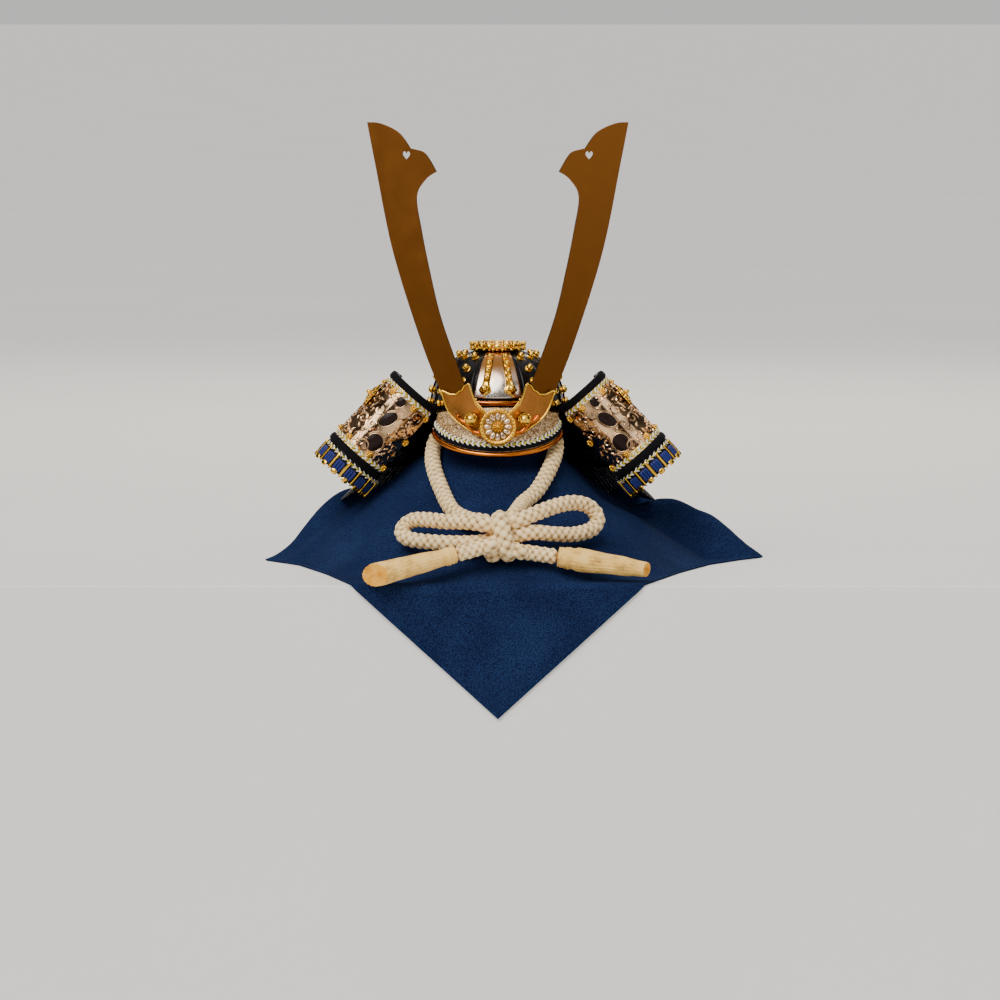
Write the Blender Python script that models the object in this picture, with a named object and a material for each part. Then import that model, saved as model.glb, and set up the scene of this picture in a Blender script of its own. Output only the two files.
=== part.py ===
"""A display-size kabuto, a Japanese warrior's helmet, on its cloth-draped stand.

Units are metres. +Z is up, the helmet looks along -Y, and the origin is the centre of the stand's base,
on the ledge that the stand sits on. The cloth's front corner hangs over the ledge's front edge.
"""

import math
from collections import namedtuple

import bmesh
import bpy
from mathutils import Vector

MM = 0.001
GAP = 0.3 * MM  # clearance between pieces that touch

# Stand
BASE_RADIUS = 60 * MM
BASE_THICKNESS = 8 * MM
POST_RADIUS = 11 * MM
BLOCK_FOOT_Z = 52 * MM
BLOCK_TOP_Z = 110 * MM
BLOCK_FLAT = 0.55  # radius of its flat crown as a share of its radius in the bowl's mouth
BLOCK_BEND = 0.86
BLOCK_DROP = 3.5 * MM
BLOCK_MOUTH_Z = 92 * MM
SHOULDER_RADIUS = 34 * MM
SHOULDER_Z = 84 * MM

# Cloth: a square laid with one corner to the front
CLOTH_THICKNESS = 1.2 * MM
CLOTH_REACH = 174 * MM  # from the stand's axis to the farthest corner on the ledge
CLOTH_STEP = math.radians(10)  # widest step between the cloth's columns
LEDGE_FRONT = 140 * MM  # from the stand's axis to the ledge's front edge
HANG_HALF_WIDTH = 91 * MM  # half the hanging corner's width at that edge
HANG_DEPTH = 83 * MM
HEM_STRIP = 3 * MM  # the least width of cloth lying flat on the ledge
TENT_FRONT = 139 * MM  # radius at which the slope reaches the ledge, towards the front
TENT_SIDE = 134 * MM
TENT_BACK = 112 * MM

# Bowl
BOWL_RADIUS = 42.4 * MM
BOWL_RIM_Z = 98 * MM
BOWL_HEIGHT = 39.5 * MM
BOWL_WALL = 1.5 * MM
BOWL_POWER = 2.4  # how square the dome's shoulder is
RIB_COUNT = 15  # ribs round the bowl, apart from the front sector
RIB_RISE = 1.2 * MM
RIB_HALF_ANGLE = math.radians(2.4)
FRONT_SECTOR = math.radians(50)

# Crown ring, front plate and strips, brow bar
RING_RADIUS = 18.4 * MM
RING_HOLE = 8 * MM
RING_HEIGHT = 4.2 * MM
RING_SINK = 0.5 * MM  # how far its foot lies below the dome's highest point
RING_LOBES = 14
PLATE_THICKNESS = 0.9 * MM
PLATE_TOP_HALF = 7.3 * MM
PLATE_FOOT_HALF = 15.2 * MM
PLATE_TOP_Z = BOWL_RIM_Z + 0.924 * BOWL_HEIGHT
PLATE_FOOT_Z = BOWL_RIM_Z + 0.268 * BOWL_HEIGHT
STRIP_WIDTH = 3.6 * MM
STRIP_LEAF = 6.4 * MM
STRIP_THICKNESS = 1.2 * MM
STRIP_TOP_X = 5.2 * MM
STRIP_FOOT_X = 8.6 * MM
STRIP_FOOT_Z = BOWL_RIM_Z + 0.316 * BOWL_HEIGHT
BAR_HEIGHT = 2.2 * MM
BAR_DEPTH = 2 * MM
BAR_Z = BOWL_RIM_Z + 0.192 * BOWL_HEIGHT
BAR_HALF_ANGLE = math.radians(27)

# Visor
VISOR_THICKNESS = 1.5 * MM
VISOR_HALF_WIDTH = 41 * MM
VISOR_REACH = 58.5 * MM  # front of its edge from the stand's axis
VISOR_SIDE_Y = -24 * MM
VISOR_FRONT_Z = 76 * MM
VISOR_SIDE_Z = 89.5 * MM
VISOR_BULGE = 1.5 * MM
VISOR_BROW_Z = 103 * MM
VISOR_END_DROP = 5 * MM
VISOR_HALF_TURN = math.radians(88)
VISOR_BROW_TURN = math.radians(57)
VISOR_RIM_DIAMETER = 3.1 * MM

# Horn holder, horns, rivets and medallion
HOLDER_THICKNESS = 1.5 * MM
HOLDER_HALF_WIDTH = 36 * MM
HOLDER_FOOT_Z = 84.5 * MM
HOLDER_HEIGHT = 34.5 * MM
HOLDER_Y = -57.8 * MM
HOLDER_SWEEP = 10.4 * MM  # how far its ends lie behind its middle
HORN_THICKNESS = 1.2 * MM
HORN_FOOT_X = 28.5 * MM
HORN_FOOT_Z = 106 * MM
HORN_REACH = 54.5 * MM
HORN_HEIGHT = 177 * MM
HORN_TWIST = 0.45  # how far each blade goes back for its way outwards
HEART_WIDTH = 5 * MM
HEART_HEIGHT = 5.7 * MM
RIVET_DIAMETER = 8.2 * MM
RIVET_X = 17 * MM
RIVET_Z = 96.4 * MM
MEDALLION_DIAMETER = 23.4 * MM
MEDALLION_THICKNESS = 3.4 * MM
MEDALLION_Z = 91.8 * MM
MEDALLION_TILT = math.radians(8)

# Neck guard
NECK_ROWS = 5
NECK_WALL = 1.5 * MM
NECK_TOP_Z = 101.5 * MM
NECK_TOP_RADIUS = BOWL_RADIUS + RIB_RISE + GAP
NECK_FOOT_Z = 45.5 * MM
NECK_FOOT_RADIUS = NECK_TOP_RADIUS + 46.1 * MM
NECK_FRONT_Y = -19.5 * MM
NECK_OVERLAP = 0.28  # share of a row's length that the next row lies under

# Turnbacks
ROLL_TOP_RADIUS = 17.6 * MM
ROLL_FOOT_RADIUS = 19.5 * MM
ROLL_WALL = 1.5 * MM
ROLL_LENGTH = 59.5 * MM
ROLL_START = math.radians(28)
ROLL_END = math.radians(215)
ROLL_RISE = 0.5 * MM  # clear way between the roll's inner edge and the neck rows' front ends
BAND_LENGTH = 4.6 * MM
BAND_THICKNESS = 2.4 * MM
ROLL_PLATE_THICKNESS = 0.9 * MM
TAIL_LENGTH = 15 * MM
TAIL_WALL = 2 * MM
TAIL_TEETH = 12
TAIL_TOOTH = 2.4 * MM
CREST_DIAMETER = 16 * MM
CREST_THICKNESS = 3.2 * MM
CREST_ALONG = 19.5 * MM

# Chin cord
CORD_DIAMETER = 10.4 * MM
CORD_SIDES = 12  # sides of the knot and the tassels
KNOT_WIDTH = 17 * MM
KNOT_DEPTH = 17 * MM
KNOT_HEIGHT = 30 * MM
KNOT_CENTRE = (2.3 * MM, -122 * MM, 28.9 * MM)

HornPoint = namedtuple("HornPoint", "out up corner")
# A horn's outline: shares of HORN_REACH and HORN_HEIGHT from its foot, and whether it is a sharp corner.
HORN_OUTLINE = [
    HornPoint(-0.02, -0.045, True),
    HornPoint(0.141, 0.042, False),
    HornPoint(0.386, 0.233, False),
    HornPoint(0.700, 0.541, False),
    HornPoint(0.899, 0.842, False),
    HornPoint(0.998, 0.999, True),
    HornPoint(0.840, 0.995, False),
    HornPoint(0.631, 0.964, False),
    HornPoint(0.491, 0.907, True),
    HornPoint(0.427, 0.903, False),
    HornPoint(0.316, 0.889, False),
    HornPoint(0.188, 0.825, True),
    HornPoint(0.315, 0.797, False),
    HornPoint(0.421, 0.735, False),
    HornPoint(0.363, 0.613, False),
    HornPoint(0.269, 0.469, False),
    HornPoint(0.130, 0.294, False),
    HornPoint(-0.138, 0.060, False),
    HornPoint(-0.19, -0.012, True),
]
HEART_PLACE = HornPoint(0.540, 0.883, False)

HolderSection = namedtuple("HolderSection", "out_x out_z in_x in_z")
# The holder from its middle to a socket: shares of HOLDER_HALF_WIDTH and HOLDER_HEIGHT.
HOLDER_SECTIONS = [
    HolderSection(0.00, 0.00, 0.00, 0.40),
    HolderSection(0.30, 0.04, 0.14, 0.39),
    HolderSection(0.51, 0.15, 0.23, 0.46),
    HolderSection(0.77, 0.35, 0.33, 0.56),
    HolderSection(0.90, 0.55, 0.40, 0.67),
]
# The socket's wavy mouth, from its outer corner to its inner corner, in the same shares.
HOLDER_MOUTH = [
    (1.00, 0.87),
    (0.84, 0.79),
    (0.74, 0.79),
    (0.68, 0.85),
    (0.63, 0.87),
    (0.58, 0.96),
    (0.51, 1.00),
]

HemPoint = namedtuple("HemPoint", "across back")
# The hem on the ledge, from the right end of the hanging corner round the back to its left end, in shares of
# CLOTH_REACH from the stand's axis.
HEM = [
    HemPoint(0.66, -0.39),
    HemPoint(0.78, -0.10),
    HemPoint(0.90, 0.07),
    HemPoint(0.985, 0.17),
    HemPoint(0.68, 0.52),
    HemPoint(0.36, 0.74),
    HemPoint(0.00, 0.95),
    HemPoint(-0.34, 0.72),
    HemPoint(-0.64, 0.48),
    HemPoint(-0.86, 0.06),
    HemPoint(-0.73, -0.12),
    HemPoint(-0.62, -0.44),
]

ClothFold = namedtuple("ClothFold", "direction half_width lift start")
# Standing folds: direction and half width in degrees, lift as a share of SHOULDER_Z, start as a share of the
# hem's radius.
CLOTH_FOLDS = [
    ClothFold(14, 10, 0.36, 0.55),
    ClothFold(30, 10, 0.31, 0.55),
    ClothFold(62, 14, 0.14, 0.55),
    ClothFold(118, 14, 0.14, 0.55),
    ClothFold(148, 12, 0.17, 0.55),
    ClothFold(168, 11, 0.21, 0.55),
]

ClothRow = namedtuple("ClothRow", "out up")
# The slope's under side from the block's shoulder to the ledge: shares of the way out and of SHOULDER_Z.
CLOTH_SLOPE = [
    ClothRow(0.02, 0.905),
    ClothRow(0.07, 0.81),
    ClothRow(0.16, 0.725),
    ClothRow(0.32, 0.54),
    ClothRow(0.62, 0.285),
    ClothRow(0.90, 0.07),
]
SLOPE_SHARES = (0.05, 0.14, 0.32, 0.54, 0.77, 1)
HANG_SHARES = (0.08, 0.5, 1)

KnotBulge = namedtuple("KnotBulge", "height width")
# The knot from its foot to its top: shares of KNOT_HEIGHT and of its width and depth.
KNOT_BULGES = [
    KnotBulge(-0.50, 0.34),
    KnotBulge(-0.44, 0.72),
    KnotBulge(-0.30, 0.92),
    KnotBulge(-0.18, 0.80),
    KnotBulge(0.00, 1.00),
    KnotBulge(0.20, 0.96),
    KnotBulge(0.36, 0.80),
    KnotBulge(0.46, 0.52),
    KnotBulge(0.50, 0.22),
]

TasselSection = namedtuple("TasselSection", "share width slant")
# Shares of the tassel's length and of TASSEL_DIAMETER, and how far the section slants to the front.
LEFT_TASSEL = [
    TasselSection(0.00, 0.66, 0),
    TasselSection(0.08, 0.76, 0),
    TasselSection(0.14, 0.70, 0),
    TasselSection(0.45, 0.86, 0),
    TasselSection(0.74, 0.96, 0.2),
    TasselSection(0.97, 1.04, 0.9),
    TasselSection(1.00, 1.00, 0.9),
]
RIGHT_TASSEL = [
    TasselSection(0.00, 0.80, 0),
    TasselSection(0.07, 0.94, 0),
    TasselSection(0.14, 0.88, 0),
    TasselSection(0.30, 1.00, 0),
    TasselSection(0.70, 0.80, 0),
    TasselSection(0.95, 0.62, 0.4),
    TasselSection(1.00, 0.58, 0.4),
]
TASSEL_DIAMETER = 15.6 * MM

# Routes of the cords, chosen points in millimetres.
CHIN_ROUTE = [
    (-8.5, -108.5, 36.5),
    (-18, -99, 37),
    (-28.5, -83, 41.5),
    (-36, -59.5, 53.5),
    (-41, -37.5, 66),
    (-41, -17.8, 76),
    (-36.8, -16.3, 86),
    (-33.2, -12.3, 94),
    (-34.5, -3, 100),
    (-30.2, 18, 102),
    (-17.5, 30.4, 102),
    (0, 35.1, 102),
    (17.5, 30.4, 102),
    (30.2, 18, 102),
    (34.5, -4, 100),
    (32.2, -14.7, 94),
    (34.5, -20.8, 86),
    (37.2, -24, 77),
    (33.5, -44.5, 66),
    (24.8, -66.5, 52.5),
    (16, -82, 46),
    (10.5, -106, 41),
]
LEFT_LOOP_ROUTE = [
    (-7.2, -124.5, 36),
    (-18, -121.5, 37.5),
    (-33, -112, 37),
    (-45.5, -101.5, 37.2),
    (-53.5, -95.2, 36),
    (-59.2, -95.5, 31.5),
    (-58.8, -101, 27),
    (-51.5, -107.3, 24.8),
    (-34, -116.5, 24.2),
    (-18, -121.3, 24.5),
    (-7.2, -121, 25.5),
]
RIGHT_LOOP_ROUTE = [
    (12, -122, 38.3),
    (25, -115.5, 43),
    (38, -104, 46.5),
    (48, -95.5, 47.2),
    (57, -89.5, 44.2),
    (62.3, -88.3, 37),
    (58.8, -94.3, 30.6),
    (47.5, -104.5, 28.3),
    (34.5, -113, 29.3),
    (22.5, -119.5, 31),
    (11.7, -121.5, 29.5),
]
LEFT_TAIL_ROUTE = [
    (-3.5, -132.6, 24.2),
    (-10, -132.4, 22.9),
    (-17, -133.3, 20.9),
    (-26, -136, 18.9),
]
RIGHT_TAIL_ROUTE = [
    (12.4, -129, 20.2),
    (18, -126.5, 19.2),
    (27, -125.7, 17.8),
    (37, -127, 16.5),
]
LEFT_TASSEL_END = (-75.5, -150, 7.5)
RIGHT_TASSEL_END = (92, -134, 9.2)


def clear_scene():
    for obj in list(bpy.data.objects):
        bpy.data.objects.remove(obj, do_unlink=True)


def make_material(name, colour, roughness, metallic):
    made = bpy.data.materials.new(name)
    made.use_nodes = True
    shader = made.node_tree.nodes["Principled BSDF"]
    shader.inputs["Base Color"].default_value = (*colour, 1)
    shader.inputs["Roughness"].default_value = roughness
    shader.inputs["Metallic"].default_value = metallic
    return made


def add_piece(name, bm, made):
    """One named object from a finished bmesh."""
    mesh = bpy.data.meshes.new(name)
    bm.to_mesh(mesh)
    bm.free()
    mesh.materials.append(made)
    mesh.shade_smooth()
    mesh.set_sharp_from_angle(angle=math.radians(35))
    obj = bpy.data.objects.new(name, mesh)
    bpy.context.collection.objects.link(obj)
    return obj


def smooth_route(points, steps, closed=False):
    """Points on a Catmull-Rom curve through the given ones."""
    pts = [Vector(p) for p in points]
    count = len(pts)
    spans = count if closed else count - 1
    out = []
    for i in range(spans):
        b, c = pts[i], pts[(i + 1) % count]
        a = pts[i - 1] if closed or i > 0 else b * 2 - c
        d = pts[(i + 2) % count] if closed or i + 2 < count else c * 2 - b
        for k in range(steps):
            t = k / steps
            out.append(
                0.5
                * (
                    2 * b
                    + (c - a) * t
                    + (2 * a - 5 * b + 4 * c - d) * t * t
                    + (3 * b - a - 3 * c + d) * t**3
                )
            )
    if not closed:
        out.append(pts[-1])
    return out


def sheet_wall(name, rows, thickness, made, closed=False, side=1):
    """A wall from rows of points: a sheet that Solidify thickens to one side of it."""
    bm = bmesh.new()
    grid = [[bm.verts.new(p) for p in row] for row in rows]
    columns = len(rows[0])
    for upper, lower in zip(grid, grid[1:]):
        for j in range(columns if closed else columns - 1):
            k = (j + 1) % columns
            bm.faces.new((upper[j], lower[j], lower[k], upper[k]))
    bmesh.ops.remove_doubles(bm, verts=bm.verts, dist=0.001 * MM)
    obj = add_piece(name, bm, made)
    wall = obj.modifiers.new("Wall", "SOLIDIFY")
    wall.thickness = thickness
    wall.offset = side
    wall.use_even_offset = True
    return obj


def turned(name, profile, centre, direction, sides, made):
    """A turned piece: (radius, along) pairs spun round the line through centre."""
    bm = bmesh.new()
    axis = Vector(direction).normalized()
    across = axis.orthogonal().normalized()
    origin = Vector(centre)
    verts = [bm.verts.new(origin + across * r + axis * a) for r, a in profile]
    edges = [bm.edges.new(pair) for pair in zip(verts, verts[1:])]
    bmesh.ops.spin(
        bm, geom=verts + edges, cent=origin, axis=axis, angle=math.tau, steps=sides, use_merge=False
    )
    bmesh.ops.remove_doubles(bm, verts=bm.verts, dist=0.001 * MM)
    bmesh.ops.recalc_face_normals(bm, faces=bm.faces)
    return add_piece(name, bm, made)


def cord_tube(name, points, diameter, made):
    """A round cord: a bevelled curve with filled ends on points read from a smooth route."""
    curve = bpy.data.curves.new(name, "CURVE")
    curve.dimensions = "3D"
    curve.bevel_depth = diameter / 2
    curve.bevel_resolution = 2
    curve.use_fill_caps = True
    spline = curve.splines.new("POLY")
    spline.points.add(len(points) - 1)
    for point, place in zip(spline.points, points):
        point.co = (*place, 1)
    curve.materials.append(made)
    obj = bpy.data.objects.new(name, curve)
    bpy.context.collection.objects.link(obj)
    return obj


def metres(route):
    return [tuple(value * MM for value in point) for point in route]


# Stand and cloth


def mouth_radius():
    """The head block's radius in the bowl's mouth, with room for the cloth and the chin cord round it."""
    return BOWL_RADIUS - BOWL_WALL - CORD_DIAMETER - CLOTH_THICKNESS - 5 * GAP


def build_stand(made):
    board_bevel = 1.5 * MM
    turned(
        "stand_base",
        [
            (0, 0),
            (BASE_RADIUS, 0),
            (BASE_RADIUS, BASE_THICKNESS - board_bevel),
            (BASE_RADIUS - board_bevel, BASE_THICKNESS),
            (0, BASE_THICKNESS),
        ],
        (0, 0, 0),
        (0, 0, 1),
        24,
        made,
    )
    foot, top = BASE_THICKNESS + GAP, BLOCK_FOOT_Z - GAP
    turned(
        "stand_post",
        [(0, foot), (POST_RADIUS, foot), (POST_RADIUS, top), (0, top)],
        (0, 0, 0),
        (0, 0, 1),
        20,
        made,
    )
    block = [(0, BLOCK_TOP_Z), *block_profile(0), (SHOULDER_RADIUS, BLOCK_FOOT_Z), (0, BLOCK_FOOT_Z)]
    turned(
        "head_block",
        block,
        (0, 0, 0),
        (0, 0, 1),
        24,
        made,
    )


def tent_radius(direction):
    """Where the cloth's slope reaches the ledge: the front, side and back radii, blended by direction."""
    forward = -math.sin(direction)
    if forward > 0:
        return TENT_SIDE + (TENT_FRONT - TENT_SIDE) * forward**2
    return TENT_SIDE + (TENT_BACK - TENT_SIDE) * forward**2


def hem_corners():
    """The corners of the cloth's hem on the ledge, from the right end of the hanging part to its left end."""
    middle = [Vector((point.across, point.back)) * CLOTH_REACH for point in HEM]
    return [Vector((HANG_HALF_WIDTH, -LEDGE_FRONT)), *middle, Vector((-HANG_HALF_WIDTH, -LEDGE_FRONT))]


def hem_radius(direction):
    """From the stand's axis to the hem on the ledge, or to the ledge's edge where the cloth hangs over it."""
    way = Vector((math.cos(direction), math.sin(direction)))
    corners = hem_corners()
    for start, stop in zip(corners, corners[1:] + corners[:1]):
        along = stop - start
        facing = way.x * along.y - way.y * along.x
        if abs(facing) < MM * MM:
            continue
        share = (start.x * way.y - start.y * way.x) / facing
        radius = (start + along * share).dot(way)
        if -0.001 <= share <= 1.001 and radius > 0:
            return radius
    return CLOTH_REACH


def hang_length(direction):
    """How much cloth hangs below the ledge's edge in that direction."""
    across, ahead = abs(math.cos(direction)), -math.sin(direction)
    if ahead * HANG_HALF_WIDTH <= across * LEDGE_FRONT:
        return 0
    left = 1 - across * LEDGE_FRONT / (ahead * HANG_HALF_WIDTH)
    return left / (across / HANG_HALF_WIDTH + ahead / HANG_DEPTH)


def block_profile(lift):
    """(radius, height) down the head block's side, lifted off it."""
    mouth = mouth_radius()
    return [
        (mouth * BLOCK_FLAT, BLOCK_TOP_Z + lift),
        (mouth * BLOCK_BEND + lift, BLOCK_TOP_Z - BLOCK_DROP + lift),
        (mouth + lift, BLOCK_MOUTH_Z + lift),
        (SHOULDER_RADIUS + lift, SHOULDER_Z),
    ]


def cloth_profile(direction):
    """(radius, height) of the cloth's under side, from the crown of the block to the ledge."""
    foot = min(tent_radius(direction), hem_radius(direction) - HEM_STRIP)
    slope = [(SHOULDER_RADIUS + (foot - SHOULDER_RADIUS) * row.out, SHOULDER_Z * row.up) for row in CLOTH_SLOPE]
    return [(0, BLOCK_TOP_Z + GAP), *block_profile(GAP), *slope, (foot, GAP)]


def fold_lift(direction, radius):
    """How far the folds lift the cloth there."""
    lift = 0
    for fold in CLOTH_FOLDS:
        away = (direction - math.radians(fold.direction) + math.pi) % math.tau - math.pi
        across = abs(away) / math.radians(fold.half_width)
        along = (radius / hem_radius(direction) - fold.start) / (1 - fold.start)
        if across < 1 and 0 < along < 1:
            lift += fold.lift * SHOULDER_Z * math.cos(across * math.pi / 2) ** 2 * math.sin(math.pi * along)
    return lift


def cloth_point(direction, radius):
    """A place on the cloth's under side over the stand and the ledge."""
    profile = cloth_profile(direction)
    height = profile[-1][1]
    for (r0, z0), (r1, z1) in zip(profile, profile[1:]):
        if radius < r1:
            height = z0 + (z1 - z0) * (radius - r0) / (r1 - r0)
            break
    height += fold_lift(direction, radius)
    return Vector((radius * math.cos(direction), radius * math.sin(direction), height))


def hanging_point(direction, past):
    """A place on the part that hangs over the ledge's edge, unrolled down it."""
    x = (hem_radius(direction) + past) * math.cos(direction)
    return Vector((x, -LEDGE_FRONT - 2 * GAP, past * math.sin(direction)))


def cloth_line(direction):
    """The cloth from the block's crown to its hem in one direction."""
    hang = hang_length(direction)
    hem = hem_radius(direction)
    bend = hem if hang > 0 else hem - HEM_STRIP
    block = cloth_profile(direction)[1:6]
    line = [Vector((r * math.cos(direction), r * math.sin(direction), z)) for r, z in block]
    top = block[-1][0]
    line += [cloth_point(direction, top + (bend - top) * share) for share in SLOPE_SHARES]
    for share in HANG_SHARES:
        if hang > 0:
            line.append(hanging_point(direction, hang * share))
        else:
            line.append(cloth_point(direction, bend + HEM_STRIP * share))
    return line


def cloth_directions():
    """Directions of the cloth's columns: its corners, and even steps between them."""
    front = -math.pi / 2
    turns = [0] + [(math.atan2(p.y, p.x) - front) % math.tau for p in hem_corners()] + [math.tau]
    directions = []
    for start, stop in zip(turns, turns[1:]):
        steps = math.ceil((stop - start) / CLOTH_STEP)
        directions += [front + start + (stop - start) * k / steps for k in range(steps)]
    return directions


def build_cloth(made):
    lines = [cloth_line(direction) for direction in cloth_directions()]
    crown = Vector((0, 0, BLOCK_TOP_Z + GAP))
    rows = [[crown] * len(lines)] + [[line[k] for line in lines] for k in range(len(lines[0]))]
    sheet_wall("draped_cloth", rows, CLOTH_THICKNESS, made, closed=True, side=1)


# Bowl and what is on it


def bowl_radius(z, extra=0):
    """The bowl's outer radius at a height, and extra outside it."""
    share = max(0, min(1, (z - BOWL_RIM_Z) / (BOWL_HEIGHT + extra)))
    return (BOWL_RADIUS + extra) * (1 - share**BOWL_POWER) ** (1 / BOWL_POWER)


def on_bowl(angle, z, extra=0):
    """A place on the bowl: angle from the front towards +X, and extra outside its surface."""
    r = bowl_radius(z, extra)
    return Vector((r * math.sin(angle), -r * math.cos(angle), z))


def build_bowl(made):
    step = (math.tau - FRONT_SECTOR) / (RIB_COUNT - 1)
    columns = []
    for k in range(RIB_COUNT):
        rib = FRONT_SECTOR / 2 + step * k
        columns += [(rib - RIB_HALF_ANGLE, 0), (rib, RIB_RISE), (rib + RIB_HALF_ANGLE, 0)]
        if k < RIB_COUNT - 1:
            columns.append((rib + step / 2, 0))
        else:
            columns += [(rib + FRONT_SECTOR * share, 0) for share in (0.25, 0.5, 0.75)]
    shares = (1.0, 0.95, 0.82, 0.6, 0.3, 0)
    rows = []
    for share in shares:
        z = BOWL_RIM_Z + (BOWL_HEIGHT - BOWL_WALL) * share
        row = []
        for angle, rise in columns:
            r = bowl_radius(z, -BOWL_WALL)
            fade = min(1, r / (0.5 * BOWL_RADIUS))
            row.append(Vector(((r + rise * fade) * math.sin(angle), -(r + rise * fade) * math.cos(angle), z)))
        rows.append(row)
    sheet_wall("bowl", rows, BOWL_WALL, made, closed=True, side=1)


def build_crown_ring(made):
    top = BOWL_RIM_Z + BOWL_HEIGHT - RING_SINK
    bm = bmesh.new()
    around = RING_LOBES * 3
    profile = [
        (RING_HOLE, top),
        (RING_RADIUS * 0.97, top - 0.6 * MM + GAP),
        (RING_RADIUS, top + RING_HEIGHT * 0.5),
        (RING_RADIUS * 0.93, top + RING_HEIGHT),
        (RING_HOLE, top + RING_HEIGHT),
    ]
    rings = []
    for k in range(around):
        angle = math.tau * k / around
        lobe = 1 if k % 3 else 0.93
        rings.append(
            [
                bm.verts.new(
                    (
                        r * (lobe if r > RING_RADIUS * 0.9 else 1) * math.sin(angle),
                        -r * (lobe if r > RING_RADIUS * 0.9 else 1) * math.cos(angle),
                        z,
                    )
                )
                for r, z in profile
            ]
        )
    for ring, following in zip(rings, rings[1:] + rings[:1]):
        for j in range(len(profile)):
            k = (j + 1) % len(profile)
            bm.faces.new((ring[j], following[j], following[k], ring[k]))
    bmesh.ops.recalc_face_normals(bm, faces=bm.faces)
    add_piece("crown_ring", bm, made)


def build_front_plate(made):
    rows = []
    for k in range(6):
        share = k / 5
        z = PLATE_TOP_Z + (PLATE_FOOT_Z - PLATE_TOP_Z) * share
        half = PLATE_TOP_HALF + (PLATE_FOOT_HALF - PLATE_TOP_HALF) * share**0.8
        angle = math.asin(half / bowl_radius(z, GAP))
        rows.append([on_bowl(angle * j / 3, z, GAP) for j in range(-3, 4)])
    sheet_wall("front_plate", rows, PLATE_THICKNESS, made, side=1)


def build_front_strips(made):
    under = GAP + PLATE_THICKNESS + GAP
    top_z = PLATE_TOP_Z - 0.5 * MM
    widths = [(0, 1.0), (0.2, 1.0), (0.4, 1.0), (0.6, 1.0), (0.74, 1.15), (0.86, STRIP_LEAF / STRIP_WIDTH), (1, 0.25)]
    for name, side in (("left", -1), ("right", 1)):
        rows = []
        for share, width in widths:
            z = top_z + (STRIP_FOOT_Z - top_z) * share
            middle = STRIP_TOP_X + (STRIP_FOOT_X - STRIP_TOP_X) * share
            r = bowl_radius(z, under)
            half = STRIP_WIDTH * width / 2
            row = [on_bowl(math.asin((middle + half * j) / r), z, under) for j in (-1, 0, 1)]
            rows.append([Vector((side * p.x, p.y, p.z)) for p in row][::side])
        sheet_wall("front_strip_" + name, rows, STRIP_THICKNESS, made, side=1)


def build_brow_bar(made):
    rows = []
    for k in range(3):
        z = BAR_Z + BAR_HEIGHT * (0.5 - k / 2)
        rows.append([on_bowl(BAR_HALF_ANGLE * j / 6, z, RIB_RISE + 2 * GAP) for j in range(-6, 7)])
    sheet_wall("brow_bar", rows, BAR_DEPTH, made, side=1)


# Visor


def rim_point(share):
    """A place on the visor's edge, from one end at -1 to the other at 1."""
    turn = VISOR_HALF_TURN * share
    x = VISOR_HALF_WIDTH * math.sin(turn)
    y = VISOR_SIDE_Y - (VISOR_REACH + VISOR_SIDE_Y) * math.cos(turn)
    slope = (VISOR_SIDE_Z - VISOR_FRONT_Z) / (VISOR_REACH + VISOR_SIDE_Y)
    return Vector((x, y, VISOR_FRONT_Z + (y + VISOR_REACH) * slope))


def brow_point(share):
    """Where the visor meets the bowl, across from rim_point."""
    angle = VISOR_BROW_TURN * share
    r = BOWL_RADIUS + RIB_RISE + GAP + VISOR_THICKNESS
    return Vector((r * math.sin(angle), -r * math.cos(angle), VISOR_BROW_Z - VISOR_END_DROP * share**2))


def visor_normal(share):
    """The visor's upward direction there."""
    across = rim_point(min(1, share + 0.01)) - rim_point(max(-1, share - 0.01))
    return across.cross(brow_point(share) - rim_point(share)).normalized()


def visor_point(share, out):
    """A place on the visor's top side, out from the bowl at 0 to its edge at 1."""
    bulge = VISOR_BULGE * math.sin(math.pi * out) * (1 - share**2)
    return brow_point(share).lerp(rim_point(share), out) + visor_normal(share) * bulge


def build_visor(made_plate, made_rim):
    count = 9
    rows = [[visor_point(j / count, k / 3) for j in range(-count, count + 1)] for k in range(4)]
    sheet_wall("visor", rows, VISOR_THICKNESS, made_plate, side=-1)
    points = []
    rim_count = 14
    for j in range(-rim_count, rim_count + 1):
        share = j / rim_count
        edge = rim_point(share)
        away = (edge - visor_point(share, 0.75)).normalized()
        middle = edge - visor_normal(share) * VISOR_THICKNESS / 2
        points.append(middle + away * (VISOR_RIM_DIAMETER / 2 + GAP))
    cord_tube("visor_rim", points, VISOR_RIM_DIAMETER, made_rim)


# Horn holder, horns, medallion


def holder_back(x):
    """The y of the holder's front side at x."""
    return HOLDER_Y + HOLDER_SWEEP * (x / HOLDER_HALF_WIDTH) ** 2


def build_holder(made):
    half_rows = []
    columns = len(HOLDER_MOUTH)
    for section in HOLDER_SECTIONS:
        row = []
        for j in range(columns):
            share = j / (columns - 1)
            x = (section.out_x + (section.in_x - section.out_x) * share) * HOLDER_HALF_WIDTH
            z = HOLDER_FOOT_Z + (section.out_z + (section.in_z - section.out_z) * share) * HOLDER_HEIGHT
            row.append((x, z))
        half_rows.append(row)
    half_rows.append([(x * HOLDER_HALF_WIDTH, HOLDER_FOOT_Z + z * HOLDER_HEIGHT) for x, z in HOLDER_MOUTH])
    rows = []
    for side, chosen in ((-1, half_rows[:0:-1]), (1, half_rows)):
        for row in chosen:
            rows.append([Vector((side * x, holder_back(x), z)) for x, z in row])
    sheet_wall("horn_holder", rows, HOLDER_THICKNESS, made, side=-1)


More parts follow.
